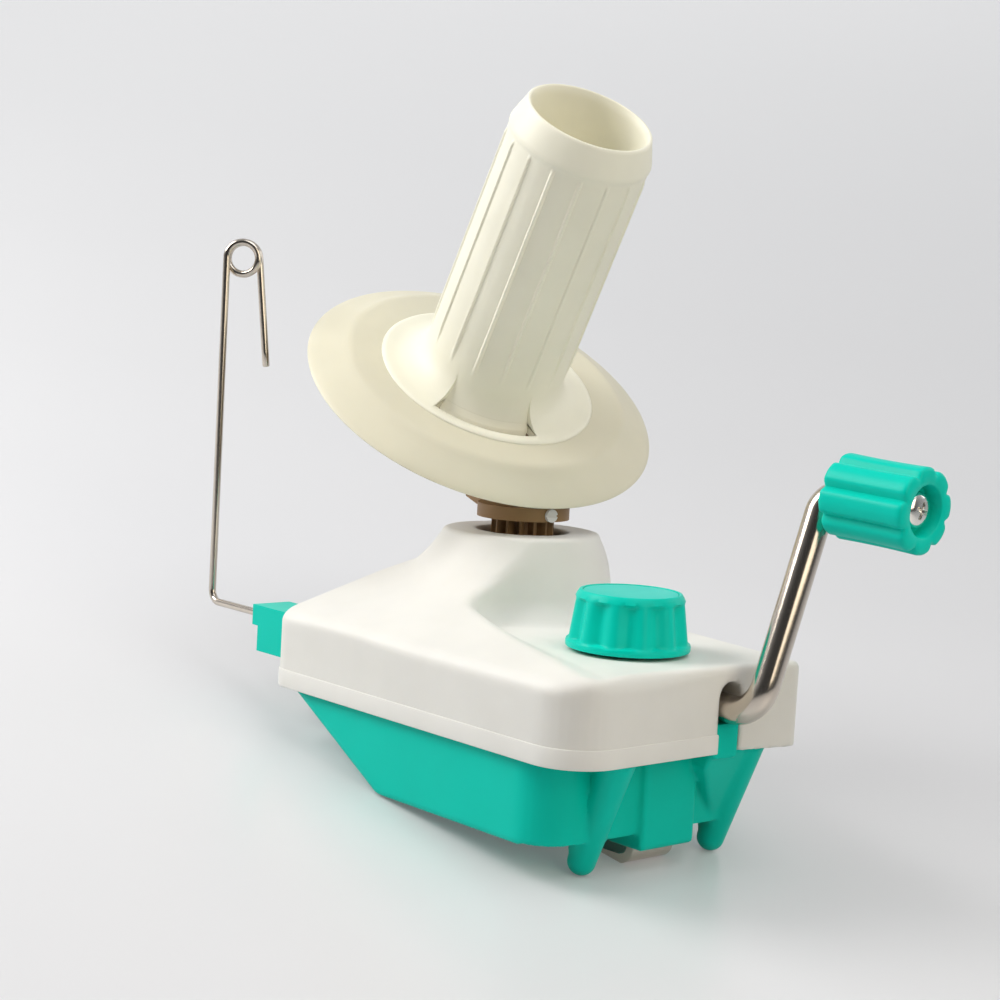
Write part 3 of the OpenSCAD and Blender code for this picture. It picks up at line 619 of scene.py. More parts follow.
def box_field(x, y, z, low, high, r):
    """Rounded box."""
    parts = []
    for value, a, b in zip((x, y, z), low, high):
        parts.append(np.abs(value - (a + b) / 2) - (b - a) / 2)
    return round_and(round_and(parts[0], parts[1], r), parts[2], r)


def clamp_box(x, y, z, span_x, half, span_z, r):
    """Rounded box across the middle of the clamp."""
    low = (span_x[0], CLAMP_Y - half, span_z[0])
    high = (span_x[1], CLAMP_Y + half, span_z[1])
    return box_field(x, y, z, low, high, r)


def housing_field(x, y, z):
    """Lower housing: open tub with prongs, clamp boss, lip, slot tongue, post boss and bearing pillars."""
    skin = tub_skin(x, y, z)
    solid = np.maximum(skin, -skin - WALL)
    solid = np.maximum(solid, -np.maximum(SEAT_END_X - x, z - SEAT_STEP))
    boss = clamp_box(x, y, z, BOSS_X, BOSS_HALF, BOSS_Z, BOSS_EDGE)
    solid = round_or(solid, boss, BOSS_FILLET)
    for side in (-PRONG_SPREAD, PRONG_SPREAD):
        solid = round_or(solid, prong_field(x, y, z, CLAMP_Y + side), WEB_EDGE)
    solid = round_or(solid, round_and(web_side(x, z), web_face(y, z), WEB_EDGE), WEB_EDGE)
    channel = clamp_box(x, y, z, CHANNEL_X, CHANNEL_HALF, CHANNEL_Z, CHANNEL_EDGE)
    pocket = clamp_box(x, y, z, POCKET_X, CHANNEL_HALF, POCKET_Z, CHANNEL_EDGE)
    jaw_space = np.minimum(channel, pocket)
    solid = np.maximum(solid, -jaw_space)
    solid = round_and(solid, z - PARTING_Z, SHELL_EDGE)
    lip_height = np.abs(z - PARTING_Z - LIP_MIDDLE) - LIP_HALF
    lip = np.maximum(plan_distance(x, y) + WALL + LIP_GAP, lip_height)
    lip = np.maximum(lip, -skin - WALL)
    along, aside = crank_frame(x, y)
    tongue_low = (TONGUE_SPAN[0], -TONGUE_HALF, TONGUE_FOOT)
    tongue_high = (TONGUE_SPAN[1], TONGUE_HALF, TONGUE_TOP)
    tongue = box_field(along, aside, z, tongue_low, tongue_high, TONGUE_EDGE)
    tongue = np.maximum(tongue, x - END_X + TONGUE_INSET)
    posts = np.maximum(np.hypot(x, y) - POST_BOSS_R, z - POST_BOSS_Z)
    for start in BUSH_STARTS:
        pillar_low = (start, -PILLAR_HALF, PILLAR_FOOT)
        pillar_high = (start + PILLAR_LEN, PILLAR_HALF, PILLAR_TOP)
        pillar = box_field(along, aside, z, pillar_low, pillar_high, PILLAR_EDGE)
        pillar = np.maximum(pillar, BUSH_R - np.hypot(aside, z - CRANK_Z))
        posts = np.minimum(posts, pillar)
    posts = np.maximum(posts, np.maximum(skin + POST_FOOT_INSET, POST_R - np.hypot(x, y)))
    posts = np.maximum(posts, -jaw_space)
    return np.minimum(np.minimum(solid, lip), np.minimum(tongue, posts))


def build_housing():
    """Teal lower housing."""
    margin = 1
    low = (-LEFT_X - margin, -FRONT_Y - margin, CHANNEL_Z[0])
    high = (END_X + BULGE, BACK_LEFT_Y + margin, POST_BOSS_Z + margin)
    points, faces = field_mesh(housing_field, low, high, FIELD_STEP)
    housing = make_mesh("housing_shell", points, faces, "base", 50)
    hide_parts("lower_housing")
    return [housing]


# Bobbin

LEAN_ACROSS = np.array((math.cos(LEAN_TURN), math.sin(LEAN_TURN)))
LEAN_AXIS = np.array((*(math.sin(LEAN) * LEAN_ACROSS), math.cos(LEAN)))
DOWNHILL = np.array((*(math.cos(LEAN) * LEAN_ACROSS), -math.sin(LEAN)))
BESIDE = np.cross(LEAN_AXIS, DOWNHILL)


def on_bobbin(r, angle, s):
    """Point at a radius, an angle from downhill and a height above the plate's rim."""
    middle = np.array((0, 0, APEX_Z)) + (s - APEX_S) * LEAN_AXIS
    return middle + r * (math.cos(angle) * DOWNHILL + math.sin(angle) * BESIDE)


def rib_angles():
    """Angles round the barrel, close together where the ribs are, with each one's share of rib height."""
    half_width = RIB_HALF / BARREL_FOOT_R
    rib_marks = [(-1.7, 0.0), (-1.15, 0.0), (-0.8, 0.55), (-0.45, 0.97), (0.0, 1.0),
                 (0.45, 0.97), (0.8, 0.55), (1.15, 0.0), (1.7, 0.0)]
    gap_marks = (0.25, 0.4, 0.5, 0.6, 0.75)
    pitch = 2 * math.pi / RIB_COUNT
    angles = []
    for i in range(RIB_COUNT):
        middle = i * pitch - RIB_PHASE
        angles += [(middle + m * half_width, h) for m, h in rib_marks]
        angles += [(middle + pitch * share, 0.0) for share in gap_marks]
    return angles


def barrel_profile():
    """Radius, height and rib share along the barrel: pad's edge, outside, mouth and inside."""
    foot = SKIRT_H + PAD_H
    pad = [(PAD_R + 0.5, SKIRT_H - 0.05), (PAD_R, foot - 0.35), (PAD_R - 0.6, foot - 0.05),
           (PAD_R - 1.2, foot), (PLATE_SLOT_R[1], foot)]
    flare = arc((BARREL_FOOT_R + FOOT_FILLET, foot + FOOT_FILLET), FOOT_FILLET, 268, 180, 14)
    flare.append((BARREL_FOOT_R, RIB_LOW - 1.0))
    outside = [(r, s, 0) for r, s in pad + flare]
    for share in (0, 0.02, 0.05, 0.1, 0.3, 0.5, 0.7, 0.9, 0.96, 0.975, 0.985, 0.992, 1.0):
        s = RIB_LOW + share * (RIB_HIGH - RIB_LOW)
        r = BARREL_FOOT_R + share * (BARREL_TOP_R - BARREL_FOOT_R)
        rounded_end = math.sqrt(max(0.0, (RIB_END_SHARE - share) / RIB_END_FADE))
        outside.append((r, s, min(1.0, share * RIB_RISE_RATE, rounded_end)))
    band_r = BARREL_TOP_R + RIB_H
    mouth = [(BARREL_TOP_R + 0.15, RIB_HIGH + 0.3), (band_r - 0.25, RIB_HIGH + 0.9),
             (band_r - 0.2, RIB_HIGH + 1.5), (band_r - 0.4, RIB_HIGH + 2.4),
             (MOUTH_R + 0.4, BOBBIN_LEN - 1.0), (MOUTH_R + 0.15, BOBBIN_LEN - 0.3),
             (MOUTH_R - 0.2, BOBBIN_LEN), (MOUTH_R - 0.7, BOBBIN_LEN), (MOUTH_R - 1.0, BOBBIN_LEN - 0.3)]
    inside = [(MOUTH_R - 1.4, BOBBIN_LEN - 3), (MOUTH_R - 2.2, BOBBIN_LEN - 12),
              (MOUTH_R - 3.6, BARREL_FLOOR_S + 15), (MOUTH_R - 4.6, BARREL_FLOOR_S + 1),
              (BARREL_FLOOR_HOLE_R, BARREL_FLOOR_S)]
    return outside + [(r, s, 0) for r, s in mouth + inside]


def slot_foot_r(s):
    """Radius of the barrel's foot where the slot cuts it back."""
    low = (SKIRT_H + PAD_H + FOOT_FILLET - s) / (FOOT_FILLET + SLOT_FOOT_DEEP)
    return BARREL_FOOT_R + SLOT_FOOT_OUT * max(0.0, low) ** SLOT_FOOT_POWER


def barrel_angles():
    """Angles round the barrel with rib shares, doubled at the slot's ends, and true where the slot is."""
    angles = rib_angles()
    known = [a for a, share in angles]
    shares = [share for a, share in angles]
    low, high = (math.radians(a) % (2 * math.pi) for a in PLATE_SLOT_DEGREES)
    step_width = 0.004
    tiny = 1e-9
    rows = []
    for a in sorted(known + [low - step_width, low, high, high + step_width]):
        in_slot = a >= low - tiny or a <= high + tiny
        rows.append((a, float(np.interp(a, known, shares)), in_slot))
    return rows


def build_barrel():
    """Ribbed barrel with its flared foot, and the wall that shows in the slot."""
    angles = barrel_angles()
    profile = barrel_profile()
    foot = SKIRT_H + PAD_H
    points = []
    for r, s, height in profile:
        on_foot = r < PLATE_SLOT_R[1] and s < foot + FOOT_FILLET
        for a, share, in_slot in angles:
            reach = slot_foot_r(s) if on_foot and in_slot else r + RIB_H * height * share
            points.append(on_bobbin(reach, a, s))
    columns = len(angles)
    keep = []
    for f in grid_faces(len(profile), columns, close_columns=True):
        row, column = divmod(f[0], columns)
        both_in_slot = angles[column][2] and angles[(column + 1) % columns][2]
        if not (profile[row][0] == PLATE_SLOT_R[1] and both_in_slot):
            keep.append(f)
    barrel = make_mesh("barrel", points, keep, "bobbin", 40)
    thick = barrel.modifiers.new("thickness", "SOLIDIFY")
    thick.thickness = BARREL_SKIN * MM
    thick.offset = -1
    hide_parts("bobbin_barrel")
    return [barrel, build_slot_wall()]


def build_slot_wall():
    """Lower end of the barrel's wall, inside the slot of the plate."""
    top = SKIRT_H + PAD_H
    outside = [(slot_foot_r(s) - 0.02, s) for s in np.linspace(top + 0.3, top - SLOT_FOOT_DEEP, 8)]
    low_r = outside[-1][0]
    rows = outside + [(low_r + 0.1, SLOT_WALL_FOOT), (low_r - BARREL_SKIN, SLOT_WALL_FOOT),
                      (outside[0][0] - BARREL_SKIN, top + 0.2)]
    angles = np.radians(np.linspace(PLATE_SLOT_DEGREES[0], PLATE_SLOT_DEGREES[1], 60))
    points = []
    for wall_r, s in rows:
        points += [on_bobbin(wall_r, a, s) for a in angles]
    faces = [list(f) for f in grid_faces(len(rows), len(angles), close_rows=True)]
    for column in (0, len(angles) - 1):
        ring = [row * len(angles) + column for row in range(len(rows))]
        faces.append(ring if column else ring[::-1])
    return make_mesh("slot_wall", points, faces, "bobbin", 50)


def plate_profile():
    """Top of the plate from the middle to the rim, then its underside back."""
    inner_r = PLATE_SLOT_R[0] - PLATE_INNER_CUT
    top = [(r, SKIRT_H) for r in (inner_r, *PLATE_SLOT_R, 37.5)]
    top += [(45.0, SKIRT_H - 0.02), (46.4, SKIRT_H - 0.12), (47.5, SKIRT_H - 0.5), (48.6, SKIRT_H - 1.15),
            (51.5, SKIRT_H - 2.95), (55.5, 2.75), (57.6, 1.4)]
    rim = [(PLATE_R - 0.25, 0.75), (PLATE_R, 0.4), (PLATE_R - 0.15, 0.1), (PLATE_R - 0.6, 0.0),
           (PLATE_R - 1.4, 0.15)]
    under = [(55.0, 1.5), (50.5, 3.7), (47.5, 4.9)]
    under += [(r, PLATE_UNDER) for r in (45.0, PLATE_SLOT_R[1], PLATE_SLOT_R[0], inner_r)]
    return top + rim + under


def build_plate():
    """Dished plate with its slot cut through."""
    count = 240
    low, high = PLATE_SLOT_DEGREES
    angles = sorted(set(np.round(np.linspace(low, low + 360, count, endpoint=False), 4)) | {low, high})
    profile = plate_profile()
    points = []
    for r, s in profile:
        points += [on_bobbin(r, math.radians(a), s) for a in angles]
    columns = len(angles)
    faces = []
    cut_rows = [i for i in range(len(profile) - 1)
                if {profile[i][0], profile[i + 1][0]} == set(PLATE_SLOT_R)]
    for f in grid_faces(len(profile), columns, close_rows=True, close_columns=True):
        row = f[0] // columns
        a = angles[f[0] % columns]
        if row in cut_rows and low <= a < high:
            continue
        faces.append(f)
    upper, lower = cut_rows
    inner_top, outer_top = upper, upper + 1
    outer_low, inner_low = lower, lower + 1

    def wall_face(*corners):
        faces.append(tuple(row * columns + column for row, column in corners))

    span = [j for j, a in enumerate(angles) if low <= a <= high]
    for j, k in zip(span, span[1:]):
        wall_face((inner_top, j), (inner_top, k), (inner_low, k), (inner_low, j))
        wall_face((outer_top, k), (outer_top, j), (outer_low, j), (outer_low, k))
    for j in (span[0], span[-1]):
        wall_face((inner_top, j), (outer_top, j), (outer_low, j), (inner_low, j))
    plate = make_mesh("plate", points, faces, "bobbin", 40)
    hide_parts("bobbin_plate")
    return [plate]


# Crank


def crank_point(across, aside, along):
    """Point in the crank's own frame: across is along its arm."""
    d = np.array((math.cos(CRANK_TURN), -math.sin(CRANK_TURN), 0))
    back = np.array((math.sin(CRANK_TURN), math.cos(CRANK_TURN), 0))
    up = np.array((0, 0, 1.0))
    arm = math.cos(ARM_ANGLE) * up + math.sin(ARM_ANGLE) * back
    other = math.cos(ARM_ANGLE) * back - math.sin(ARM_ANGLE) * up
    return np.array((0, 0, CRANK_Z)) + across * arm + aside * other + along * d


def pin_point(across, aside, along):
    """Point beside the crank's arm in the grip's own frame, which is turned about the arm."""
    return crank_point(across, aside * math.cos(PIN_TURN) + along * math.sin(PIN_TURN),
                       ARM_REACH + along * math.cos(PIN_TURN) - aside * math.sin(PIN_TURN))


def build_crank():
    """Bent rod: shaft, lower bend, arm, upper bend and the pin in the grip."""
    bend_start = ARM_REACH - LOW_BEND
    arm_end = CRANK_THROW - HIGH_BEND
    pin_end = GRIP_START + GRIP_LEN - ROD_END_SHORT
    path = [crank_point(0, 0, s) for s in np.linspace(ROD_START, bend_start, 12)]
    path += [crank_point(LOW_BEND - LOW_BEND * math.cos(a), 0, bend_start + LOW_BEND * math.sin(a))
             for a in np.linspace(0.1, math.pi / 2, 10)]
    path += [crank_point(u, 0, ARM_REACH) for u in np.linspace(LOW_BEND + 2, arm_end, 8)]
    path += [pin_point(arm_end + HIGH_BEND * math.sin(a), 0, HIGH_BEND - HIGH_BEND * math.cos(a))
             for a in np.linspace(0.15, math.pi / 2, 9)]
    path += [pin_point(CRANK_THROW, 0, s) for s in np.linspace(HIGH_BEND + 2, pin_end, 5)]
    points, faces = tube(path, ROD_R, 32)
    rod = make_mesh("crank_bar", points, faces, "crank", 60)
    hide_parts("crank_rod")
    return [rod]


def grip_radius(angle, along):
    """Radius of the grip: broad lobes with narrow grooves, very slightly slimmer in the middle."""
    phase = (angle * GRIP_LOBES / (2 * math.pi)) % 1.0
    edge = min(phase, 1 - phase) * 2
    groove = GROOVE_DEEP * math.exp(-(edge / GROOVE_WIDTH) ** 2) + LOBE_CROWN * (1 - edge)
    middle = 2 * along / GRIP_LEN - 1
    waist = GRIP_WAIST * (1 - middle * middle)
    return GRIP_R - groove - waist


def build_grip():
    """Lobed grip with rounded ends, a recess at its outer end and the bore for the rod, and its screw."""
    columns = GRIP_LOBES * 16
    angles = [2 * math.pi * j / columns for j in range(columns)]
    rounding = [(0.0, -1.1), (0.15, -0.6), (0.5, -0.2), (1.1, 0.0)]
    stations = rounding + [(t, 0.0) for t in np.linspace(2.2, GRIP_LEN - 2.2, 14)]
    stations += [(GRIP_LEN - t, inset) for t, inset in reversed(rounding)]
    rings = [[grip_radius(a, t) + inset for a in angles] for t, inset in stations]
    heights = [t for t, inset in stations]
    recess_floor = GRIP_LEN - RECESS_DEEP
    bore_r = ROD_R + 0.06
    for r, t in ((RECESS_R + 0.25, GRIP_LEN), (RECESS_R, GRIP_LEN - 0.25), (RECESS_R - 0.2, recess_floor),
                 (bore_r, recess_floor), (bore_r, 0.0)):
        rings.append([r] * columns)
        heights.append(t)
    points = []
    for ring, t in zip(rings, heights):
        points += [pin_point(CRANK_THROW + r * math.cos(a), r * math.sin(a), GRIP_START + t)
                   for r, a in zip(ring, angles)]
    faces = grid_faces(len(rings), columns, close_rows=True, close_columns=True)
    grip = make_mesh("grip", points, faces, "grip", 50)
    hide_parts("crank_grip")
    return [grip, build_grip_screw()]


def build_grip_screw():
    """Washer and domed cross-head screw at the end of the grip."""
    columns = 96
    seat = GRIP_START + GRIP_LEN - GRIP_SCREW_SEAT
    profile = [(5.2, 0.0), (5.2, 0.7), (5.15, 0.9), (5.1, 0.95), (5.0, 1.5), (4.8, 2.1), (4.4, 2.6),
               (3.8, 2.95), (3.1, 3.2), (CROSS_R, 3.3), (2.3, 3.32), (1.9, 3.35), (1.4, 3.38),
               (0.9, 3.4), (0.4, 3.4), (0.02, 3.4)]
    points = []
    for r, h in profile:
        for j in range(columns):
            a = 2 * math.pi * j / columns
            off_arm = r * min(abs(math.sin(a)), abs(math.cos(a)))
            in_cross = r < CROSS_R and off_arm < CROSS_HALF
            sunk = CROSS_DEEP * min(1.0, (CROSS_R - r) / CROSS_RAMP) if in_cross else 0.0
            points.append(pin_point(CRANK_THROW + r * math.cos(a), r * math.sin(a), seat + h - sunk))
    faces = grid_faces(len(profile), columns, close_columns=True)
    screw = make_mesh("grip_screw_head", points, faces, "crank", 40)
    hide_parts("grip_screw")
    return screw


# Yarn guide


def build_guide():
    """Bent wire: the part in the bracket, the upright, the coiled eye and the tail."""
    bend_x = -WIRE_REACH + WIRE_BEND
    bend_z = WIRE_Z + WIRE_BEND
    path = [np.array((x, WIRE_Y, WIRE_Z)) for x in np.linspace(WIRE_END_X, bend_x, 12)]
    path += [np.array((bend_x - WIRE_BEND * math.sin(a), WIRE_Y, bend_z - WIRE_BEND * math.cos(a)))
             for a in np.linspace(0.15, math.pi / 2, 9)]
    path += [np.array((-WIRE_REACH, WIRE_Y, z)) for z in np.linspace(bend_z + 2, EYE_Z, 16)]
    up = np.array((0, 0, 1))
    out = np.array((math.cos(EYE_TURN), math.sin(EYE_TURN), 0))
    depth = np.array((-math.sin(EYE_TURN), math.cos(EYE_TURN), 0))
    foot = np.array((-WIRE_REACH, WIRE_Y, EYE_Z))
    whole_turn = 3 * math.pi - TAIL_LEAN
    for turn in np.linspace(0.1, whole_turn, 70):
        share = min(max((turn - math.pi) / math.pi, 0), 1)
        loop = foot + out * EYE_R * (1 - math.cos(turn)) + up * EYE_R * math.sin(turn)
        path.append(loop + depth * EYE_STEP * ease(share))
    heading = out * math.sin(TAIL_LEAN) - up * math.cos(TAIL_LEAN)
    start = path[-1]
    path += [start + heading * t for t in np.linspace(2, TAIL_LEN, 8)]
    points, faces = tube(path, WIRE_R, 16)
    guide = make_mesh("guide_wire", points, faces, "guide", 60)
    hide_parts("yarn_guide")
    return [guide]


# Knob


def build_knob():
    """Fluted knob, hollow below, and its inset lid."""
    columns = KNOB_FLUTES * 14
    angles = [2 * math.pi * j / columns for j in range(columns)]
    base = SHELF_Z + KNOB_GAP
    lid_r = KNOB_R - KNOB_LID_INSET
    rows = [(KNOB_R - 0.5, 0.0, 0), (KNOB_R - 0.1, 0.15, 0), (KNOB_R, 0.6, 0), (KNOB_R, 1.5, 0),
            (KNOB_R - 0.15, 1.95, 0), (KNOB_R - 0.4, 2.15, 0.5), (KNOB_R - 0.5, 2.6, 1.0)]
    for share in np.linspace(0.06, 0.9, 6):
        rows.append((KNOB_R - 0.45 - 1.65 * share, 2.4 + share * (KNOB_H - 4.5), 1.0))
    rows += [(KNOB_R - 2.08, KNOB_H - 2.7, 0.75), (KNOB_R - 2.12, KNOB_H - 2.3, 0.3),
             (KNOB_R - 2.2, KNOB_H - 1.9, 0), (KNOB_R - 2.7, KNOB_H - 0.9, 0),
             (KNOB_R - 3.1, KNOB_H - 0.25, 0), (KNOB_R - 3.35, KNOB_H, 0), (lid_r + 0.25, KNOB_H, 0),
             (lid_r + 0.05, KNOB_H - 0.25, 0), (lid_r, KNOB_H - 0.9, 0), (0.01, KNOB_H - 0.9, 0)]
    hub_r, screw_hole_r, hollow = 7.5, 4.05, 7.0
    under = [(KNOB_R - 2.6, 0.0, 0), (KNOB_R - 3.2, hollow, 0), (hub_r, hollow, 0), (hub_r, 0.0, 0),
             (screw_hole_r, 0.0, 0), (screw_hole_r, 10, 0)]
    rows = under[::-1] + rows
    points = []
    for r, t, depth in rows:
        for a in angles:
            flute = depth * FLUTE_DEEP * (0.5 - 0.5 * math.cos(a * KNOB_FLUTES)) ** FLUTE_POWER
            reach = r - flute
            points.append((SCREW_X + reach * math.cos(a), CLAMP_Y + reach * math.sin(a), base + t))
    faces = grid_faces(len(rows), columns, close_columns=True)
    knob = make_mesh("knob", points, faces, "knob", 50)
    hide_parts("clamp_knob")
    return [knob, build_lid(base, lid_r)]


def build_lid(base, lid_r):
    """Inset lid of the knob, with a soft edge and a slightly domed face."""
    columns = 96
    rows = [(lid_r - 0.12, KNOB_H - 0.89), (lid_r - 0.12, KNOB_H - 0.35), (lid_r - 0.25, KNOB_H - 0.2),
            (lid_r - 0.6, KNOB_H - 0.16), (lid_r * 0.7, KNOB_H - 0.12), (lid_r * 0.35, KNOB_H - 0.1),
            (0.02, KNOB_H - 0.1)]
    points = []
    for r, t in rows:
        points += [(SCREW_X + r * math.cos(a), CLAMP_Y + r * math.sin(a), base + t)
                   for a in np.linspace(0, 2 * math.pi, columns, endpoint=False)]
    faces = grid_faces(len(rows), columns, close_columns=True)
    lid = make_mesh("knob_lid", points, faces, "knob", 50)
    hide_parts("knob_cap")
    return lid


# Materials


def new_material(name):
    """A material with its nodes and links."""
    material = bpy.data.materials.new(name)
    material.use_nodes = True
    return material, material.node_tree.nodes, material.node_tree.links


def mottled(nodes, links, colour, spread, scale):
    """Colour with a faint variation in patches."""
    shader = nodes["Principled BSDF"]
    place = nodes.new("ShaderNodeTexCoord")
    noise = nodes.new("ShaderNodeTexNoise")
    noise.inputs["Scale"].default_value = scale
    noise.inputs["Detail"].default_value = 3
    ramp = nodes.new("ShaderNodeValToRGB")
    ramp.color_ramp.elements[0].position = 0.3
    ramp.color_ramp.elements[1].position = 0.7
    ramp.color_ramp.elements[0].color = (*[c * (1 - spread) for c in colour], 1)
    ramp.color_ramp.elements[1].color = (*[min(1, c * (1 + spread)) for c in colour], 1)
    links.new(place.outputs["Object"], noise.inputs["Vector"])
    links.new(noise.outputs["Fac"], ramp.inputs["Fac"])
    links.new(ramp.outputs["Color"], shader.inputs["Base Color"])
    return shader, place


def add_bump(nodes, links, shader, place, scale, strength, distance):
    """Fine grain on the surface."""
    grain = nodes.new("ShaderNodeTexNoise")
    grain.inputs["Scale"].default_value = scale
    grain.inputs["Detail"].default_value = 2
    bump = nodes.new("ShaderNodeBump")
    bump.inputs["Strength"].default_value = strength
    bump.inputs["Distance"].default_value = distance
    links.new(place.outputs["Object"], grain.inputs["Vector"])
    links.new(grain.outputs["Fac"], bump.inputs["Height"])
    links.new(bump.outputs["Normal"], shader.inputs["Normal"])


def plastic(name, colour, roughness, scatter=0.0, gloss_level=0.5):
    """Moulded plastic: faint mottling, fine grain, uneven gloss and a little light scattered inside."""
    material, nodes, links = new_material(name)
    shader, place = mottled(nodes, links, colour, 0.025, 45)
    add_bump(nodes, links, shader, place, 900, 0.05, 0.0002)
    gloss = nodes.new("ShaderNodeTexNoise")
    gloss.inputs["Scale"].default_value = 120
    spread = nodes.new("ShaderNodeMapRange")
    uneven = 0.05
    spread.inputs["To Min"].default_value = roughness - uneven
    spread.inputs["To Max"].default_value = roughness + uneven
    links.new(place.outputs["Object"], gloss.inputs["Vector"])
    links.new(gloss.outputs["Fac"], spread.inputs["Value"])
    links.new(spread.outputs["Result"], shader.inputs["Roughness"])
    shader.inputs["Subsurface Weight"].default_value = scatter
    shader.inputs["Subsurface Scale"].default_value = 0.002
    shader.inputs["Specular IOR Level"].default_value = gloss_level
    shader.inputs["Subsurface Radius"].default_value = (1.0, 0.9, 0.7)
    return material


def metal(name, colour, roughness, grain):
    """Metal with a faintly uneven colour and surface."""
    material, nodes, links = new_material(name)
    shader, place = mottled(nodes, links, colour, 0.08, 60)
    add_bump(nodes, links, shader, place, 500, grain, 0.0001)
    shader.inputs["Metallic"].default_value = 1
    shader.inputs["Roughness"].default_value = roughness
    return material


MATERIALS = {
    "teal": plastic("teal plastic", (0.0, 0.62, 0.49), 0.38, 0.05, 0.12),
    "teal_lid": plastic("teal lid plastic", (0.003, 0.60, 0.50), 0.42, 0.05, 0.3),
    "white": plastic("white plastic", (0.82, 0.81, 0.765), 0.45, 0.1, 0.3),
    "ivory": plastic("ivory plastic", (0.76, 0.725, 0.575), 0.45, 0.2, 0.35),
    # The barrel's copy of the ivory plastic is painted paler than the plate's: painted light over the barrel,
    # most of all on its shaded side and in its mouth.
    "ivory_painted_light": plastic("ivory plastic painted lighter", (0.97, 0.945, 0.79), 0.45, 0.1, 0.35),
    "crown_white": plastic("gear plastic", (0.82, 0.80, 0.74), 0.45),
    "brown": plastic("brown plastic", (0.31, 0.185, 0.085), 0.45, 0.05, 0.3),
    "steel": metal("zinc plate", (0.72, 0.70, 0.66), 0.28, 0.10),
    "nickel": metal("nickel plate", (0.60, 0.54, 0.47), 0.18, 0.06),
    "bright": metal("polished screw", (0.80, 0.78, 0.74), 0.16, 0.05),
    # Pale matte plastic for the polished carrier screw: its pale grey is painted reflection in place of
    # metal.
    "screw_head": plastic("screw head with painted reflection", (0.80, 0.79, 0.78), 0.25, 0.0, 0.8),
    "dark_steel": metal("blackened steel", (0.06, 0.06, 0.06), 0.4, 0.1),
    "brass": metal("brass", (0.72, 0.52, 0.20), 0.3, 0.08),
    "nylon": plastic("nylon", (0.75, 0.73, 0.68), 0.5),
}


def dress(objects):
    """Gives each piece its material, by the material's short name."""
    for obj, short_name in objects:
        obj.data.materials.clear()
        obj.data.materials.append(MATERIALS[short_name])


# Scene

built = build_cover() + build_housing() + build_barrel() + build_plate() + build_crank()
built += build_grip() + build_guide() + build_knob()
RECORD_SLOT = {s["node"]: s["material_slot"] for s in frame["record"]["subparts"]}
dress([(obj, RECORD_SLOT[name]) for name, obj in frame["nodes"].items()])
# The barrel and the wall in the plate's slot wear the ivory with painted light.
MATERIAL_OF = {
    "cover_shell": "white", "cover_band": "white", "housing_shell": "teal", "barrel": "ivory_painted_light",
    "plate": "ivory", "slot_wall": "ivory_painted_light", "crank_bar": "nickel", "grip": "teal",
    "grip_screw_head": "bright", "guide_wire": "nickel", "knob": "teal", "knob_lid": "teal_lid"}
dress([(obj, MATERIAL_OF[obj.name]) for obj in built])
# The carrier screw's pale matte head is painted reflection in place of its polished metal.
# The clamp jaw's steel is dressed in the darker, warmer nickel: painted reflection of the dark, brownish
# surroundings it mirrors.
dress([(frame["nodes"]["carrier_screw"], "screw_head"), (frame["nodes"]["clamp_jaw"], "nickel")])


def camera_axes():
    """Right, up and forward of the photograph's camera."""
    right = np.array((math.cos(CAMERA_YAW), math.sin(CAMERA_YAW), 0))
    ahead = np.array((-math.sin(CAMERA_YAW), math.cos(CAMERA_YAW), 0))
    up = np.array((0, 0, 1.0))
    forward = ahead * math.cos(CAMERA_PITCH) - up * math.sin(CAMERA_PITCH)
    level_up = up * math.cos(CAMERA_PITCH) + ahead * math.sin(CAMERA_PITCH)
    turned_right = right * math.cos(CAMERA_ROLL) + level_up * math.sin(CAMERA_ROLL)
    turned_up = -right * math.sin(CAMERA_ROLL) + level_up * math.cos(CAMERA_ROLL)
    return turned_right, turned_up, forward


def add_camera():
    """Camera that stands where the photograph was taken from."""
    right, up, forward = camera_axes()
    data = bpy.data.cameras.new("camera")
    data.sensor_width = SENSOR_MM
    data.lens = FOCAL_PIXELS / IMAGE_PIXELS * SENSOR_MM
    data.clip_start = 0.01
    data.clip_end = 20
    camera = bpy.data.objects.new("camera", data)
    bpy.context.collection.objects.link(camera)
    matrix = Matrix.Identity(4)
    for row in range(3):
        matrix[row][0] = right[row]
        matrix[row][1] = up[row]
        matrix[row][2] = -forward[row]
        matrix[row][3] = to_frame(CAMERA_PLACE)[row]
    camera.matrix_world = matrix
    bpy.context.scene.camera = camera


def add_floor():
    """Plain floor just under the prong tips and the edge of the seat, running up into a backdrop."""
    forward = camera_axes()[2]
    edge = np.array((BOW_FOOT_X, CLAMP_Y, 0.0))
    tip = np.array((PRONG_TIP[0] + FLOOR_TIP_SHIFT, CLAMP_Y, PRONG_TIP[1] - PRONG_R))
    slope = (tip - edge) / np.linalg.norm(tip - edge)
    across = np.array((0, 1.0, 0))
    normal = np.cross(slope, across)
    ahead = forward - normal * np.dot(forward, normal)
    ahead /= np.linalg.norm(ahead)
    sideways = np.cross(ahead, normal)
    middle = (edge + tip) / 2 - normal * FLOOR_GAP
    rows = [(FLOOR_NEAR, 0.0), (0.0, 0.0), (CURVE_START, 0.0)]
    rows += [(CURVE_START + CURVE_R * math.sin(a), CURVE_R * (1 - math.cos(a)))
             for a in np.linspace(0.1, math.pi / 2, 14)]
    rows.append((CURVE_START + CURVE_R, BACKDROP_TOP))
    points = []
    for away, rise in rows:
        points += [middle + ahead * away + normal * rise + sideways * w
                   for w in np.linspace(-FLOOR_HALF, FLOOR_HALF, FLOOR_COLUMNS)]
    mesh = bpy.data.meshes.new("floor")
    mesh.from_pydata([tuple(p) for p in to_frame(points)], [], grid_faces(len(rows), FLOOR_COLUMNS))
    mesh.shade_smooth()
    mesh.materials.append(floor_material())
    floor = bpy.data.objects.new("floor", mesh)
    bpy.context.collection.objects.link(floor)


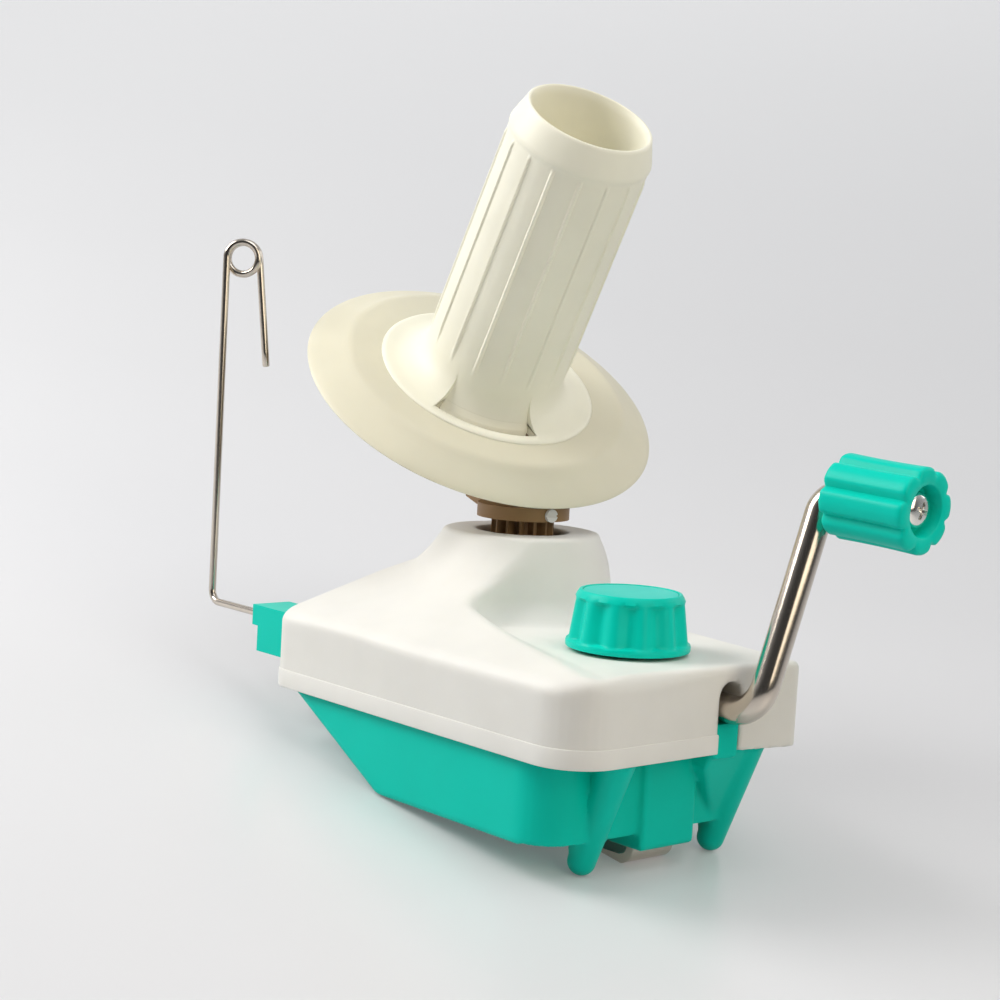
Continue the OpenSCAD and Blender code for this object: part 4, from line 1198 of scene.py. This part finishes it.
def floor_material():
    """Pale floor that looks lighter towards the backdrop, to the eye and in reflections."""
    material, nodes, links = new_material("pale floor")

    def combine(operation, first, second):
        node = nodes.new("ShaderNodeMath")
        node.operation = operation
        links.new(first, node.inputs[0])
        links.new(second, node.inputs[1])
        return node.outputs["Value"]

    shader = nodes["Principled BSDF"]
    shader.inputs["Base Color"].default_value = FLOOR_COLOUR
    shader.inputs["Roughness"].default_value = 0.3
    shader.inputs["Emission Color"].default_value = FLOOR_TINT
    rays = nodes.new("ShaderNodeLightPath").outputs
    seen = combine("MAXIMUM", rays["Is Camera Ray"], rays["Is Transmission Ray"])
    seen = combine("MAXIMUM", seen, rays["Is Glossy Ray"])
    place = nodes.new("ShaderNodeTexCoord")
    parts = nodes.new("ShaderNodeSeparateXYZ")
    height = nodes.new("ShaderNodeMapRange")
    height.inputs["From Max"].default_value = FLOOR_LIFT_HEIGHT
    height.inputs["To Min"].default_value = FLOOR_LIFT[0]
    height.inputs["To Max"].default_value = FLOOR_LIFT[1]
    links.new(place.outputs["Object"], parts.inputs["Vector"])
    links.new(parts.outputs["Z"], height.inputs["Value"])
    lift = combine("MULTIPLY", seen, height.outputs["Result"])
    links.new(lift, shader.inputs["Emission Strength"])
    return material


def add_light(name, place, size, power, colour=(1, 1, 1)):
    """Square area lamp, aimed at the middle of the object. Place in millimetres, size in metres."""
    data = bpy.data.lights.new(name, "AREA")
    data.shape = "SQUARE"
    data.size = size
    data.energy = power
    data.color = colour
    lamp = bpy.data.objects.new(name, data)
    bpy.context.collection.objects.link(lamp)
    lamp.location = Vector(to_frame(place))
    lamp.rotation_euler = (Vector(to_frame(LAMP_AIM)) - lamp.location).to_track_quat("-Z", "Y").to_euler()


def add_world(dark, bright):
    """Room light that is strong overhead and behind the object, and weak on the camera's side."""
    world = bpy.data.worlds.new("world")
    world.use_nodes = True
    nodes, links = world.node_tree.nodes, world.node_tree.links
    place = nodes.new("ShaderNodeTexCoord")
    along = nodes.new("ShaderNodeVectorMath")
    along.operation = "DOT_PRODUCT"
    forward = camera_axes()[2]
    toward = forward * ROOM_AHEAD + np.array((0, 0, ROOM_UP))
    along.inputs[1].default_value = tuple(toward / np.linalg.norm(toward))
    level = nodes.new("ShaderNodeMapRange")
    level.interpolation_type = "SMOOTHSTEP"
    level.inputs["From Min"].default_value = ROOM_RANGE[0]
    level.inputs["From Max"].default_value = ROOM_RANGE[1]
    level.inputs["To Min"].default_value = dark
    level.inputs["To Max"].default_value = bright
    links.new(place.outputs["Generated"], along.inputs[0])
    links.new(along.outputs["Value"], level.inputs["Value"])
    links.new(level.outputs["Result"], nodes["Background"].inputs["Strength"])
    nodes["Background"].inputs["Color"].default_value = ROOM_COLOUR
    bpy.context.scene.world = world


add_camera()
add_floor()
add_world(0.05, 0.6)
add_light("key", (-440, -540, 625), 0.5, 6.75, (1.0, 0.98, 0.95))
add_light("fill", (760, -60, 330), 0.5, 1.75, (1.0, 0.90, 0.74))
add_light("top", (420, -40, 880), 0.6, 2.45)
add_light("back", (330, 800, 480), 0.4, 0.8)
bpy.context.scene.view_settings.view_transform = "Standard"
